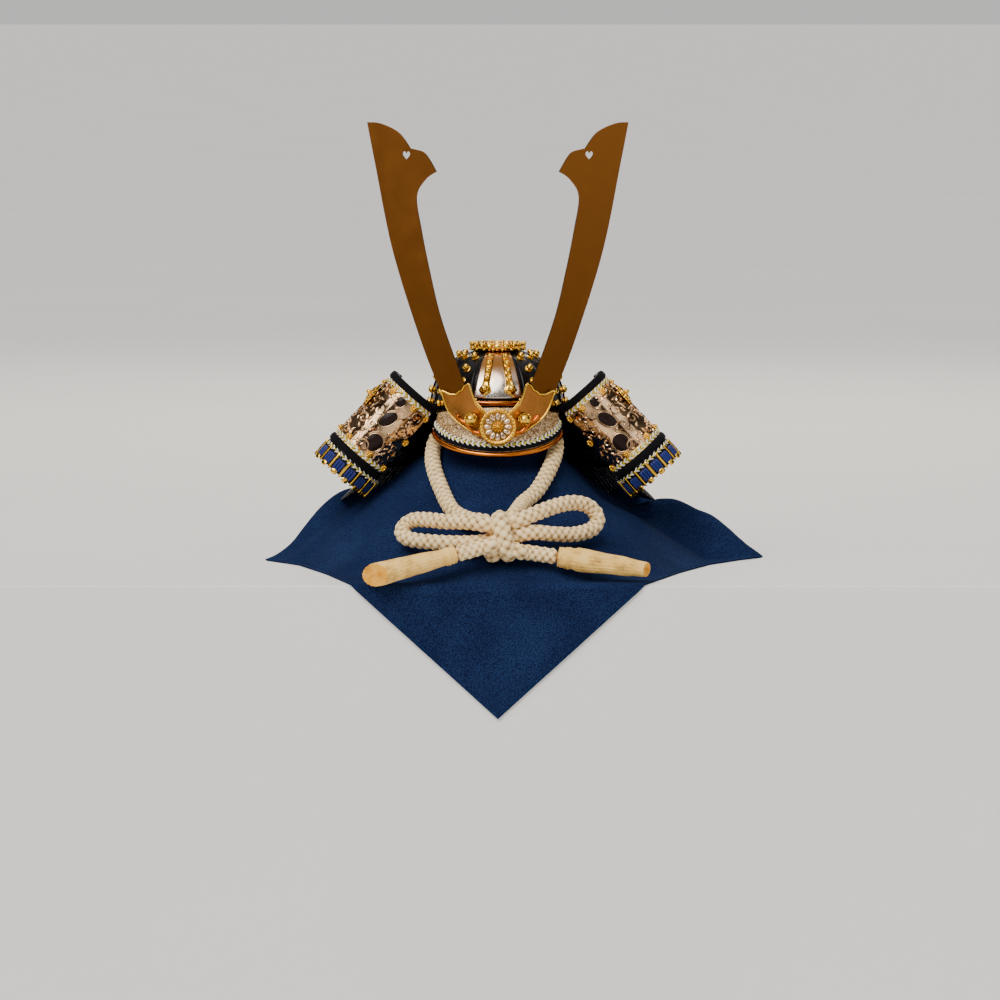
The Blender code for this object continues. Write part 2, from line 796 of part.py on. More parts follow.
def horn_place(share_out, share_up, side):
    """A place on the back side of a horn blade's front face."""
    x = HORN_FOOT_X + share_out * HORN_REACH
    z = HORN_FOOT_Z + share_up * HORN_HEIGHT
    root = holder_back(HOLDER_HALF_WIDTH) + HOLDER_THICKNESS + 2.6 * GAP
    return Vector((side * x, root + (x - HOLDER_HALF_WIDTH) * HORN_TWIST, z))


def horn_outline():
    """The outline's shares, with the stretches between its corners rounded."""
    count = len(HORN_OUTLINE)
    out = []
    for i in range(count):
        a, b = HORN_OUTLINE[i], HORN_OUTLINE[(i + 1) % count]
        before, after = HORN_OUTLINE[i - 1], HORN_OUTLINE[(i + 2) % count]
        first = (a.out, a.up)
        last = (b.out, b.up)
        start = first if a.corner else (before.out, before.up)
        stop = last if b.corner else (after.out, after.up)
        steps = 1 if a.corner and b.corner else 3
        for k in range(steps):
            t = k / steps
            weights = (
                -0.5 * t + t * t - 0.5 * t**3,
                1 - 2.5 * t * t + 1.5 * t**3,
                0.5 * t + 2 * t * t - 1.5 * t**3,
                -0.5 * t * t + 0.5 * t**3,
            )
            chosen = (start, first, last, stop)
            out.append(tuple(sum(w * p[axis] for w, p in zip(weights, chosen)) for axis in (0, 1)))
    return out


def heart_outline():
    """The heart-shaped hole, point down, in shares of the horn."""
    steps = 14
    curve_height = 29  # of the heart curve below, in its own units
    out = []
    for k in range(steps):
        t = math.tau * k / steps
        x = HEART_WIDTH / 2 * math.sin(t) ** 3
        curve = 13 * math.cos(t) - 5 * math.cos(2 * t) - 2 * math.cos(3 * t) - math.cos(4 * t)
        z = HEART_HEIGHT / curve_height * curve
        out.append((HEART_PLACE.out + x / HORN_REACH, HEART_PLACE.up + z / HORN_HEIGHT))
    return out


def build_horn(name, side, made):
    bm = bmesh.new()
    for outline in (horn_outline(), heart_outline()):
        verts = [bm.verts.new(horn_place(out, up, side)) for out, up in outline]
        for a, b in zip(verts, verts[1:] + verts[:1]):
            bm.edges.new((a, b))
    bmesh.ops.triangle_fill(bm, edges=bm.edges, use_beauty=True)
    for face in bm.faces:
        if face.normal.y < 0:
            face.normal_flip()
    obj = add_piece(name, bm, made)
    wall = obj.modifiers.new("Blade", "SOLIDIFY")
    wall.thickness = HORN_THICKNESS
    wall.offset = 1


def medallion_normal():
    return Vector((0, -math.cos(MEDALLION_TILT), math.sin(MEDALLION_TILT)))


def build_medallion(made):
    half = MEDALLION_DIAMETER / 2
    thick = MEDALLION_THICKNESS
    lean = (MEDALLION_Z - HOLDER_FOOT_Z) * math.tan(MEDALLION_TILT)
    back = Vector((0, HOLDER_Y - GAP - lean, MEDALLION_Z))
    turned(
        "medallion",
        [
            (0, 0),
            (half * 0.94, 0),
            (half, thick * 0.3),
            (half, thick * 0.6),
            (half * 0.94, thick * 0.85),
            (half * 0.8, thick * 0.85),
            (half * 0.72, thick * 0.45),
            (half * 0.35, thick * 0.62),
            (half * 0.3, thick),
            (0, thick * 1.25),
        ],
        back,
        medallion_normal(),
        18,
        made,
    )


def build_rivets(made):
    half = RIVET_DIAMETER / 2
    for name, side in (("left", -1), ("right", 1)):
        foot = Vector((side * RIVET_X, holder_back(RIVET_X) - GAP, RIVET_Z))
        out = Vector((0, -1, 0))
        slope = 2 * HOLDER_SWEEP * RIVET_X / HOLDER_HALF_WIDTH**2 * half * 0.45
        turned(
            "holder_rivet_" + name,
            [
                (0, slope),
                (half * 0.45, slope),
                (half * 0.45, slope + half * 0.3),
                (half * 0.85, slope + half * 0.5),
                (half, slope + half),
                (half * 0.8, slope + half * 1.6),
                (half * 0.4, slope + half * 1.92),
                (0, slope + half * 2),
            ],
            foot,
            out,
            10,
            made,
        )


# Neck guard and turnbacks


def neck_line(share):
    """(radius, height) of the neck guard's inner side: 0 at the bowl, 1 at the foot."""
    return (
        NECK_TOP_RADIUS + (NECK_FOOT_RADIUS - NECK_TOP_RADIUS) * share,
        NECK_TOP_Z + (NECK_FOOT_Z - NECK_TOP_Z) * share,
    )


def neck_normal():
    """The neck guard's outward direction, as (radius, height)."""
    across = NECK_FOOT_RADIUS - NECK_TOP_RADIUS
    down = NECK_TOP_Z - NECK_FOOT_Z
    long = math.hypot(across, down)
    return down / long, across / long


def build_neck_rows(made):
    out_r, out_z = neck_normal()
    columns = 24
    for row in range(NECK_ROWS):
        covered = 1 + (NECK_OVERLAP if row < NECK_ROWS - 1 else 0)
        rows = []
        for u in (0, covered):
            radius, height = neck_line((row + u) / NECK_ROWS)
            rise = (NECK_WALL + GAP) * u
            radius, height = radius + out_r * rise, height + out_z * rise
            corner = math.asin(-NECK_FRONT_Y / radius)
            sweep = math.pi + 2 * corner
            line = []
            for j in range(columns + 1):
                angle = -corner + sweep * j / columns
                line.append(Vector((radius * math.cos(angle), radius * math.sin(angle), height)))
            rows.append(line)
        sheet_wall(f"neck_row_{row + 1}", rows, NECK_WALL, made, side=1)


def roll_frame(side):
    """(edge at the bowl, direction down the roll, direction out of the neck guard) of a turnback."""
    top_r, top_z = neck_line(0)
    foot_r, foot_z = neck_line(1)
    front_y = NECK_FRONT_Y - ROLL_RISE - (ROLL_WALL + GAP) * math.sin(ROLL_START)
    top = Vector((side * math.sqrt(top_r**2 - NECK_FRONT_Y**2), front_y, top_z))
    foot = Vector((side * math.sqrt(foot_r**2 - NECK_FRONT_Y**2), front_y, foot_z))
    down = (foot - top).normalized()
    out = Vector((side * -down.z, 0, abs(down.x)))
    return top, down, out


def roll_radius(along):
    return ROLL_TOP_RADIUS + (ROLL_FOOT_RADIUS - ROLL_TOP_RADIUS) * along / ROLL_LENGTH


def roll_point(side, along, turn, extra=0):
    """A place on a turnback's outer side: along its axis, turn from its inner edge through the front."""
    edge, down, out = roll_frame(side)
    radius = roll_radius(along)
    forward = Vector((0, -1, 0))
    centre = edge + out * (radius * math.cos(ROLL_START)) - forward * (radius * math.sin(ROLL_START))
    arm = -out * math.cos(turn) + forward * math.sin(turn)
    return centre + down * along + arm * (radius + extra)


def roll_rows(side, start, stop, first, last, extra, columns=14):
    rows = []
    for along in (start, stop):
        line = [roll_point(side, along, first + (last - first) * j / columns, extra) for j in range(columns + 1)]
        rows.append(line[::side])
    return rows


def build_turnback(name, side, made):
    velvet, silver, board, gold, lacing = made
    sheet_wall(
        "turnback_board_" + name,
        roll_rows(side, 0, ROLL_LENGTH, ROLL_START, ROLL_END, -GAP),
        ROLL_WALL,
        board,
        side=-1,
    )
    inset = math.radians(4)
    sheet_wall(
        "turnback_plate_" + name,
        roll_rows(
            side, BAND_LENGTH + GAP, ROLL_LENGTH - BAND_LENGTH - GAP, ROLL_START + inset, ROLL_END - inset, 0
        ),
        ROLL_PLATE_THICKNESS,
        silver,
        side=1,
    )
    for place, start in (("upper", 0), ("lower", ROLL_LENGTH - BAND_LENGTH)):
        sheet_wall(
            f"turnback_{place}_band_{name}",
            roll_rows(side, start, start + BAND_LENGTH, ROLL_START, ROLL_END, 0),
            BAND_THICKNESS,
            velvet,
            side=1,
        )
    tail_turn = ROLL_END - math.radians(6)
    rows = roll_rows(side, ROLL_LENGTH + GAP, ROLL_LENGTH + TAIL_LENGTH, ROLL_START, tail_turn, 0, TAIL_TEETH * 2)
    edge = rows[1]
    direction = roll_frame(side)[1]
    for j, point in enumerate(edge):
        if j % 2:
            edge[j] = point + direction * -TAIL_TOOTH * 0.5
    sheet_wall("turnback_tail_" + name, rows, TAIL_WALL, lacing, side=1)
    crest_turn = math.pi
    extra = ROLL_PLATE_THICKNESS + 2 * GAP
    foot = roll_point(side, CREST_ALONG, crest_turn, extra)
    out = roll_frame(side)[2]
    half, thick = CREST_DIAMETER / 2, CREST_THICKNESS
    seat = half * 0.42
    radius = roll_radius(CREST_ALONG)
    rise = radius - math.sqrt(radius**2 - seat**2)
    turned(
        "crest_" + name,
        [
            (0, 0),
            (seat, 0),
            (seat, thick * 0.3),
            (half * 0.92, thick * 0.5 + rise),
            (half, thick * 0.75 + rise),
            (half * 0.9, thick + rise),
            (half * 0.6, thick * 0.8 + rise),
            (half * 0.3, thick * 1.2 + rise),
            (0, thick * 1.3 + rise),
        ],
        foot,
        out,
        14,
        gold,
    )


# Chin cord, bow and tassels


def ringed(name, rings, made):
    """A closed solid through rings of points, with flat ends."""
    bm = bmesh.new()
    grid = [[bm.verts.new(p) for p in ring] for ring in rings]
    bm.faces.new(grid[0])
    bm.faces.new(grid[-1])
    for lower, upper in zip(grid, grid[1:]):
        for k in range(len(lower)):
            following = (k + 1) % len(lower)
            bm.faces.new((lower[k], lower[following], upper[following], upper[k]))
    bmesh.ops.recalc_face_normals(bm, faces=bm.faces)
    add_piece(name, bm, made)


def build_knot(made):
    centre = Vector(KNOT_CENTRE)
    rings = []
    for bulge in KNOT_BULGES:
        ring = []
        for k in range(CORD_SIDES):
            turn = math.tau * k / CORD_SIDES
            x = KNOT_WIDTH / 2 * bulge.width * math.cos(turn)
            y = KNOT_DEPTH / 2 * bulge.width * math.sin(turn)
            ring.append(centre + Vector((x, y, bulge.height * KNOT_HEIGHT)))
        rings.append(ring)
    ringed("knot", rings, made)


def build_tassel(name, begin, end, sections, made):
    """A tassel's sleeve and fringe; its end is cut at a slant that shows from the front."""
    axis = (end - begin).normalized()
    across = axis.cross(Vector((0, 1, 0))).normalized()
    behind = across.cross(axis)
    rings = []
    for section in sections:
        ring = []
        radius = TASSEL_DIAMETER / 2 * section.width
        for k in range(CORD_SIDES):
            turn = math.tau * k / CORD_SIDES
            along = (end - begin).length * section.share + section.slant * radius * math.sin(turn)
            ring.append(begin + axis * along + (across * math.cos(turn) + behind * math.sin(turn)) * radius)
        rings.append(ring)
    ringed(name, rings, made)


def build_cords(made_cord, made_tassel):
    build_knot(made_cord)
    cord_tube("chin_cord", smooth_route(metres(CHIN_ROUTE), 2), CORD_DIAMETER, made_cord)
    cord_tube("bow_loop_left", smooth_route(metres(LEFT_LOOP_ROUTE), 2), CORD_DIAMETER, made_cord)
    cord_tube("bow_loop_right", smooth_route(metres(RIGHT_LOOP_ROUTE), 2), CORD_DIAMETER, made_cord)
    tails = (
        ("left", LEFT_TAIL_ROUTE, LEFT_TASSEL_END, LEFT_TASSEL),
        ("right", RIGHT_TAIL_ROUTE, RIGHT_TASSEL_END, RIGHT_TASSEL),
    )
    for name, route, tassel_end, sections in tails:
        points = smooth_route(metres(route), 2)
        cord_tube("cord_tail_" + name, points, CORD_DIAMETER, made_cord)
        end = Vector(metres([tassel_end])[0])
        begin = points[-1] + (end - points[-1]).normalized() * 2 * GAP
        build_tassel("tassel_" + name, begin, end, sections, made_tassel)


def main():
    clear_scene()
    wood = make_material("stand_wood", (0.55, 0.38, 0.2), 0.6, 0)
    crepe = make_material("navy_crepe", (0.008, 0.024, 0.075), 0.9, 0)
    lacquer = make_material("black_lacquer", (0.012, 0.011, 0.012), 0.2, 0)
    gold = make_material("bright_gold", (0.85, 0.5, 0.13), 0.22, 1)
    bronze = make_material("satin_bronze", (0.3, 0.14, 0.05), 0.4, 1)
    silver = make_material("silver_plate", (0.75, 0.7, 0.64), 0.25, 1)
    velvet = make_material("black_velvet", (0.01, 0.009, 0.01), 0.95, 0)
    leather = make_material("printed_leather", (0.45, 0.36, 0.22), 0.6, 0)
    lacing = make_material("blue_lacing", (0.012, 0.035, 0.19), 0.85, 0)
    cord = make_material("cream_cord", (0.7, 0.58, 0.4), 0.8, 0)
    tassel = make_material("straw_tassel", (0.66, 0.47, 0.2), 0.7, 0)

    build_stand(wood)
    build_cloth(crepe)
    build_bowl(lacquer)
    build_crown_ring(gold)
    build_front_plate(silver)
    build_front_strips(gold)
    build_brow_bar(gold)
    build_visor(leather, gold)
    build_holder(gold)
    build_horn("horn_left", -1, bronze)
    build_horn("horn_right", 1, bronze)
    build_medallion(gold)
    build_rivets(gold)
    build_neck_rows(lacquer)
    for name, side in (("left", -1), ("right", 1)):
        build_turnback(name, side, (velvet, silver, lacquer, gold, lacing))
    build_cords(cord, tassel)


main()
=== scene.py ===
"""Looks for the display kabuto on its draped stand: detailed pieces, finishes, studio and camera."""

import math
from collections import namedtuple
from functools import cache

import bpy
from mathutils import Matrix, Vector


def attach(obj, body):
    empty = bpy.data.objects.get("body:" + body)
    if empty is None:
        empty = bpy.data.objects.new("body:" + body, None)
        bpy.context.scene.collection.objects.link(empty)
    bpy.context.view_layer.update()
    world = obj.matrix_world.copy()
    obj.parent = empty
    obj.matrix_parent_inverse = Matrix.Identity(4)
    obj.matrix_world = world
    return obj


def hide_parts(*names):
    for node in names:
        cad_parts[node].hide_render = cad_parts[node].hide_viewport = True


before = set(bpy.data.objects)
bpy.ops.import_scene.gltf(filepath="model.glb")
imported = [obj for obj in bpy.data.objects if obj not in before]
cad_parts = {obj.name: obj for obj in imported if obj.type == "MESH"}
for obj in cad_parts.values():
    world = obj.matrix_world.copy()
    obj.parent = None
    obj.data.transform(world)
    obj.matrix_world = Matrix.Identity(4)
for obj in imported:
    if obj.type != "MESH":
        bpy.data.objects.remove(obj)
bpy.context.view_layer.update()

bl_info = {
    "name": "Draped kabuto looks",
    "version": (1, 0, 0),
    "blender": (4, 5, 0),
    "location": "3D View > Sidebar > Kabuto",
    "description": "Builds the visible pieces of a display kabuto on its cloth-draped stand",
    "category": "Object",
}

MM = 0.001
BODY = "root"

# Stand and cloth
GAP = 0.3 * MM
BLOCK_TOP_Z = 110 * MM
BLOCK_MOUTH_Z = 92 * MM
BLOCK_MOUTH_RADIUS = 27.8 * MM
SHOULDER_RADIUS = 34 * MM
SHOULDER_Z = 84 * MM
CLOTH_REACH = 174 * MM
LEDGE_FRONT = 140 * MM
HANG_HALF_WIDTH = 91 * MM
HANG_DEPTH = 83 * MM
HEM_STRIP = 3 * MM
HEM_SLACK = 0.001
TENT_FRONT = 139 * MM
TENT_SIDE = 134 * MM
TENT_BACK = 112 * MM

# Bowl
BOWL_RADIUS = 42.4 * MM
BOWL_RIM_Z = 98 * MM
BOWL_HEIGHT = 39.5 * MM
BOWL_POWER = 2.4
RIB_RISE = 1.2 * MM
RIB_COUNT = 15
FRONT_SECTOR = math.radians(50)
RIB_STEP = (math.tau - FRONT_SECTOR) / (RIB_COUNT - 1)
RIB_HALF_TURN = math.radians(2.1)
# A rib's section: shares of its half width and of its height.
RIB_SECTION = [(-1, 0), (-0.8, 0.45), (-0.4, 0.88), (0, 1), (0.4, 0.88), (0.8, 0.45), (1, 0)]
STRIP_LIFT = 2.7 * MM

# Visor
VISOR_THICKNESS = 1.5 * MM
VISOR_HALF_WIDTH = 41 * MM
VISOR_REACH = 58.5 * MM
VISOR_SIDE_Y = -24 * MM
VISOR_FRONT_Z = 76 * MM
VISOR_SIDE_Z = 89.5 * MM
VISOR_BULGE = 1.5 * MM
VISOR_BROW_Z = 103 * MM
VISOR_END_DROP = 5 * MM
VISOR_HALF_TURN = math.radians(88)
VISOR_BROW_TURN = math.radians(57)

# Horn holder and horns
HOLDER_THICKNESS = 1.5 * MM
HOLDER_HALF_WIDTH = 36 * MM
HOLDER_FOOT_Z = 84.5 * MM
HOLDER_HEIGHT = 34.5 * MM
HOLDER_Y = -57.8 * MM
HOLDER_SWEEP = 10.4 * MM
HORN_THICKNESS = 1.2 * MM
HORN_FOOT_X = 28.5 * MM
HORN_FOOT_Z = 106 * MM
HORN_REACH = 54.5 * MM
HORN_HEIGHT = 177 * MM
HORN_TWIST = 0.45

# Neck guard and turnbacks
NECK_ROWS = 5
NECK_WALL = 1.5 * MM
NECK_TOP_Z = 101.5 * MM
NECK_TOP_RADIUS = BOWL_RADIUS + RIB_RISE + GAP
NECK_FOOT_Z = 45.5 * MM
NECK_FOOT_RADIUS = NECK_TOP_RADIUS + 46.1 * MM
NECK_FRONT_Y = -19.5 * MM
NECK_OVERLAP = 0.28
ROLL_TOP_RADIUS = 17.6 * MM
ROLL_FOOT_RADIUS = 19.5 * MM
ROLL_WALL = 1.5 * MM
ROLL_LENGTH = 59.5 * MM
ROLL_START = math.radians(28)
ROLL_END = math.radians(215)
ROLL_RISE = 0.5 * MM
BAND_LENGTH = 4.6 * MM
TAIL_LENGTH = 15 * MM

# The hem's corners on the ledge, across and back, in shares of the cloth's reach.
HEM = [
    (0.66, -0.39), (0.78, -0.10), (0.90, 0.07), (0.985, 0.17), (0.68, 0.52), (0.36, 0.74),
    (0.00, 0.95), (-0.34, 0.72), (-0.64, 0.48), (-0.86, 0.06), (-0.73, -0.12), (-0.62, -0.44),
]
# Standing folds: directions and half widths in degrees, and lifts in shares of the shoulder's height.
ClothFold = namedtuple("ClothFold", "direction half_width lift")
CLOTH_FOLDS = [
    ClothFold(14, 10, 0.36),
    ClothFold(30, 10, 0.31),
    ClothFold(62, 14, 0.14),
    ClothFold(118, 14, 0.14),
    ClothFold(148, 12, 0.17),
    ClothFold(168, 11, 0.21),
]
FOLD_START = 0.55
FULL_SIDE = 10 * MM
LOW_SIDE = 5 * MM
FULL_BACK = 10 * MM
# The cloth's slope between the shoulder and the ledge: shares of the way out, and of the height.
CLOTH_SLOPE = [(0.02, 0.905), (0.07, 0.81), (0.16, 0.725), (0.32, 0.54), (0.62, 0.285), (0.90, 0.07)]

# Routes of the cords in millimetres, as in the part's source.
CORD_DIAMETER = 10.4 * MM
CHIN_ROUTE = [
    (-8.5, -108.5, 36.5), (-18, -99, 37), (-28.5, -83, 41.5), (-36, -59.5, 53.5), (-41, -37.5, 66),
    (-41, -17.8, 76), (-36.8, -16.3, 86), (-33.2, -12.3, 94), (-34.5, -3, 100), (-30.2, 18, 102),
    (-17.5, 30.4, 102), (0, 35.1, 102), (17.5, 30.4, 102), (30.2, 18, 102), (34.5, -4, 100),
    (32.2, -14.7, 94), (34.5, -20.8, 86), (37.2, -24, 77), (33.5, -44.5, 66), (24.8, -66.5, 52.5),
    (16, -82, 46), (10.5, -106, 41),
]
LEFT_LOOP_ROUTE = [
    (-7.2, -124.5, 36), (-18, -121.5, 37.5), (-33, -112, 37), (-45.5, -101.5, 37.2), (-53.5, -95.2, 36),
    (-59.2, -95.5, 31.5), (-58.8, -101, 27), (-51.5, -107.3, 24.8), (-34, -116.5, 24.2),
    (-18, -121.3, 24.5), (-7.2, -121, 25.5),
]
RIGHT_LOOP_ROUTE = [
    (12, -122, 38.3), (25, -115.5, 43), (38, -104, 46.5), (48, -95.5, 47.2), (57, -89.5, 44.2),
    (62.3, -88.3, 37), (58.8, -94.3, 30.6), (47.5, -104.5, 28.3), (34.5, -113, 29.3), (22.5, -119.5, 31),
    (11.7, -121.5, 29.5),
]
LEFT_TAIL_ROUTE = [(-3.5, -132.6, 24.2), (-10, -132.4, 22.9), (-17, -133.3, 20.9), (-26, -136, 18.9)]
RIGHT_TAIL_ROUTE = [(12.4, -129, 20.2), (18, -126.5, 19.2), (27, -125.7, 17.8), (37, -127, 16.5)]
# Where the cords run on inside the knot, which only the looks show.
CHIN_START = [(3, -116, 30), (-2.5, -113, 33)]
CHIN_STOP = [(4.5, -113, 36.5), (-1, -116, 31)]
LEFT_LOOP_START = [(5.5, -114, 31), (0.5, -120, 34.5)]
RIGHT_LOOP_START = [(-2.5, -112.5, 32), (5, -118.5, 36.5)]
LEFT_TASSEL_END = (-75.5, -150, 7.5)
RIGHT_TASSEL_END = (92, -134, 9.2)


# Shapes shared with the part: cloth, bowl, visor, holder, horns, neck guard and turnbacks


def curve_point(line, t):
    """A place on a Catmull-Rom curve from the second of four points to the third."""
    a, b, c, d = (Vector(point) for point in line)
    near = (2 * a - 5 * b + 4 * c - d) * t * t
    far = (3 * b - a - 3 * c + d) * t**3
    return 0.5 * (2 * b + (c - a) * t + near + far)


def smooth_route(points, steps):
    """Points on a curve through the given ones."""
    pts = [Vector(p) for p in points]
    line = [pts[0] * 2 - pts[1], *pts, pts[-1] * 2 - pts[-2]]
    out = [curve_point(line[i : i + 4], k / steps) for i in range(len(pts) - 1) for k in range(steps)]
    return [*out, pts[-1]]


def even_route(points, step):
    """Points a fixed step apart along a line of points."""
    lengths = [0]
    for a, b in zip(points, points[1:]):
        lengths.append(lengths[-1] + (b - a).length)
    count = max(2, round(lengths[-1] / step))
    out = []
    i = 0
    for k in range(count + 1):
        along = lengths[-1] * k / count
        while i < len(points) - 2 and lengths[i + 1] < along:
            i += 1
        span = lengths[i + 1] - lengths[i] or 1
        out.append(points[i].lerp(points[i + 1], min(1, (along - lengths[i]) / span)))
    return out


def metres(route):
    return [tuple(value * MM for value in point) for point in route]


def tent_radius(direction):
    """Where the cloth's slope reaches the ledge."""
    forward = -math.sin(direction)
    if forward > 0:
        return TENT_SIDE + (TENT_FRONT - TENT_SIDE) * forward**2
    return TENT_SIDE + (TENT_BACK - TENT_SIDE) * forward**2


def hem_corners():
    middle = [Vector(shares) * CLOTH_REACH for shares in HEM]
    return [Vector((HANG_HALF_WIDTH, -LEDGE_FRONT)), *middle, Vector((-HANG_HALF_WIDTH, -LEDGE_FRONT))]


HEM_CORNERS = hem_corners()


def hem_radius(direction):
    """From the stand's axis to the hem on the ledge, or to the ledge's edge where the cloth hangs over it."""
    way = Vector((math.cos(direction), math.sin(direction)))
    for start, stop in zip(HEM_CORNERS, HEM_CORNERS[1:] + HEM_CORNERS[:1]):
        along = stop - start
        turn = way.x * along.y - way.y * along.x
        if abs(turn) < MM * MM:
            continue
        share = (start.x * way.y - start.y * way.x) / turn
        radius = (start + along * share).dot(way)
        if -HEM_SLACK <= share <= 1 + HEM_SLACK and radius > 0:
            return radius
    return CLOTH_REACH


def hang_length(direction):
    """How much cloth hangs below the ledge's edge in that direction."""
    across, ahead = abs(math.cos(direction)), -math.sin(direction)
    if ahead * HANG_HALF_WIDTH <= across * LEDGE_FRONT:
        return 0
    left = 1 - across * LEDGE_FRONT / (ahead * HANG_HALF_WIDTH)
    return left / (across / HANG_HALF_WIDTH + ahead / HANG_DEPTH)


def cloth_profile(direction):
    """(radius, height) of the cloth's under side, from the crown of the block to the ledge."""
    foot = min(tent_radius(direction), hem_radius(direction) - HEM_STRIP)
    slope = [(SHOULDER_RADIUS + (foot - SHOULDER_RADIUS) * out, SHOULDER_Z * up) for out, up in CLOTH_SLOPE]
    return [
        (0, BLOCK_TOP_Z + GAP),
        (BLOCK_MOUTH_RADIUS * 0.55, BLOCK_TOP_Z + GAP),
        (BLOCK_MOUTH_RADIUS * 0.86 + GAP, BLOCK_TOP_Z - 3.5 * MM + GAP),
        (BLOCK_MOUTH_RADIUS + GAP, BLOCK_MOUTH_Z + GAP),
        (SHOULDER_RADIUS + GAP, SHOULDER_Z),
        *slope,
        (foot, GAP),
    ]


def fold_lift(direction, radius, hem):
    """How far the standing folds and the fuller sides lift the cloth there."""

    def near(middle, half_width):
        away = (direction - math.radians(middle) + math.pi) % math.tau - math.pi
        share = abs(away) / math.radians(half_width)
        return math.cos(share * math.pi / 2) ** 2 if share < 1 else 0

    lift = 0
    along = (radius / hem - FOLD_START) / (1 - FOLD_START)
    if 0 < along < 1:
        rise = SHOULDER_Z * math.sin(math.pi * along)
        lift += rise * sum(fold.lift * near(fold.direction, fold.half_width) for fold in CLOTH_FOLDS)
    along = (radius - SHOULDER_RADIUS) / (hem - SHOULDER_RADIUS)
    if 0 < along < 1:
        lift += FULL_SIDE * near(180, 60) * math.sin(math.pi * along**0.85)
    if 0 < along < 0.5:
        lift -= LOW_SIDE * near(5.73, 60) * math.sin(math.tau * along)
    if 0 < along < 0.7:
        lift += FULL_BACK * near(34, 36) * math.sin(math.pi * along / 0.7)
    return lift


def eased(profile, radius):
    """The profile's height at a radius, its corners rounded by a mean over a short way."""
    total = 0
    for shift in (-2.4, -1.2, 0, 1.2, 2.4):
        r = max(0, radius + shift * MM)
        height = profile[-1][1]
        for (r0, z0), (r1, z1) in zip(profile, profile[1:]):
            if r < r1:
                height = z0 + (z1 - z0) * (r - r0) / (r1 - r0)
                break
        total += height
    return total / 5


def bowl_radius(z, extra=0):
    share = max(0, min(1, (z - BOWL_RIM_Z) / (BOWL_HEIGHT + extra)))
    return (BOWL_RADIUS + extra) * (1 - share**BOWL_POWER) ** (1 / BOWL_POWER)


def on_bowl(angle, z, extra=0):
    """A place on the bowl: angle from the front towards +X, and extra outside its surface."""
    r = bowl_radius(z, extra)
    return Vector((r * math.sin(angle), -r * math.cos(angle), z))


def rim_point(share):
    """A place on the visor's edge, from one end at -1 to the other at 1."""
    turn = VISOR_HALF_TURN * share
    x = VISOR_HALF_WIDTH * math.sin(turn)
    y = VISOR_SIDE_Y - (VISOR_REACH + VISOR_SIDE_Y) * math.cos(turn)
    slope = (VISOR_SIDE_Z - VISOR_FRONT_Z) / (VISOR_REACH + VISOR_SIDE_Y)
    return Vector((x, y, VISOR_FRONT_Z + (y + VISOR_REACH) * slope))


def brow_point(share):
    angle = VISOR_BROW_TURN * share
    r = BOWL_RADIUS + RIB_RISE + GAP + VISOR_THICKNESS
    return Vector((r * math.sin(angle), -r * math.cos(angle), VISOR_BROW_Z - VISOR_END_DROP * share**2))


def visor_normal(share):
    across = rim_point(min(1, share + 0.01)) - rim_point(max(-1, share - 0.01))
    return across.cross(brow_point(share) - rim_point(share)).normalized()


def visor_point(share, out, lift=0):
    """A place on the visor's top side, out from the bowl at 0 to its edge at 1."""
    bulge = VISOR_BULGE * math.sin(math.pi * out) * (1 - share**2)
    return brow_point(share).lerp(rim_point(share), out) + visor_normal(share) * (bulge + lift)


def visor_place(share, away, lift=0):
    """A place on the visor a given way in from its edge, in metres."""
    long = (brow_point(share) - rim_point(share)).length
    return visor_point(share, 1 - away / long, lift)


def holder_back(x):
    """The y of the holder's front side at x."""
    return HOLDER_Y + HOLDER_SWEEP * (x / HOLDER_HALF_WIDTH) ** 2


def horn_place(share_out, share_up):
    """A place on the back side of the right horn blade's front face."""
    x = HORN_FOOT_X + share_out * HORN_REACH
    z = HORN_FOOT_Z + share_up * HORN_HEIGHT
    root = holder_back(HOLDER_HALF_WIDTH) + HOLDER_THICKNESS + 2.6 * GAP
    return Vector((x, root + (x - HOLDER_HALF_WIDTH) * HORN_TWIST, z))


def neck_line(share):
    """(radius, height) of the neck guard's inner side: 0 at the bowl, 1 at the foot."""
    return (
        NECK_TOP_RADIUS + (NECK_FOOT_RADIUS - NECK_TOP_RADIUS) * share,
        NECK_TOP_Z + (NECK_FOOT_Z - NECK_TOP_Z) * share,
    )


def neck_normal():
    across = NECK_FOOT_RADIUS - NECK_TOP_RADIUS
    down = NECK_TOP_Z - NECK_FOOT_Z
    long = math.hypot(across, down)
    return down / long, across / long


def neck_place(row, share, u, lift=0):
    """A place on a neck row: share along it from -1 to 1, u down it, lift outside its inner side."""
    out_r, out_z = neck_normal()
    radius, height = neck_line((row + u) / NECK_ROWS)
    rise = (NECK_WALL + GAP) * u + lift
    base = radius + out_r * (NECK_WALL + GAP) * u
    corner = math.asin(-NECK_FRONT_Y / base)
    angle = math.pi / 2 + (math.pi / 2 + corner) * share
    radius, height = radius + out_r * rise, height + out_z * rise
    return Vector((radius * math.cos(angle), radius * math.sin(angle), height))


def roll_frame():
    """(edge at the bowl, direction down the roll, direction out of the neck guard) of the right turnback."""
    top_r, top_z = neck_line(0)
    foot_r, foot_z = neck_line(1)
    front_y = NECK_FRONT_Y - ROLL_RISE - (ROLL_WALL + GAP) * math.sin(ROLL_START)
    top = Vector((math.sqrt(top_r**2 - NECK_FRONT_Y**2), front_y, top_z))
    foot = Vector((math.sqrt(foot_r**2 - NECK_FRONT_Y**2), front_y, foot_z))
    down = (foot - top).normalized()
    return top, down, Vector((-down.z, 0, down.x))


def roll_radius(along):
    return ROLL_TOP_RADIUS + (ROLL_FOOT_RADIUS - ROLL_TOP_RADIUS) * along / ROLL_LENGTH


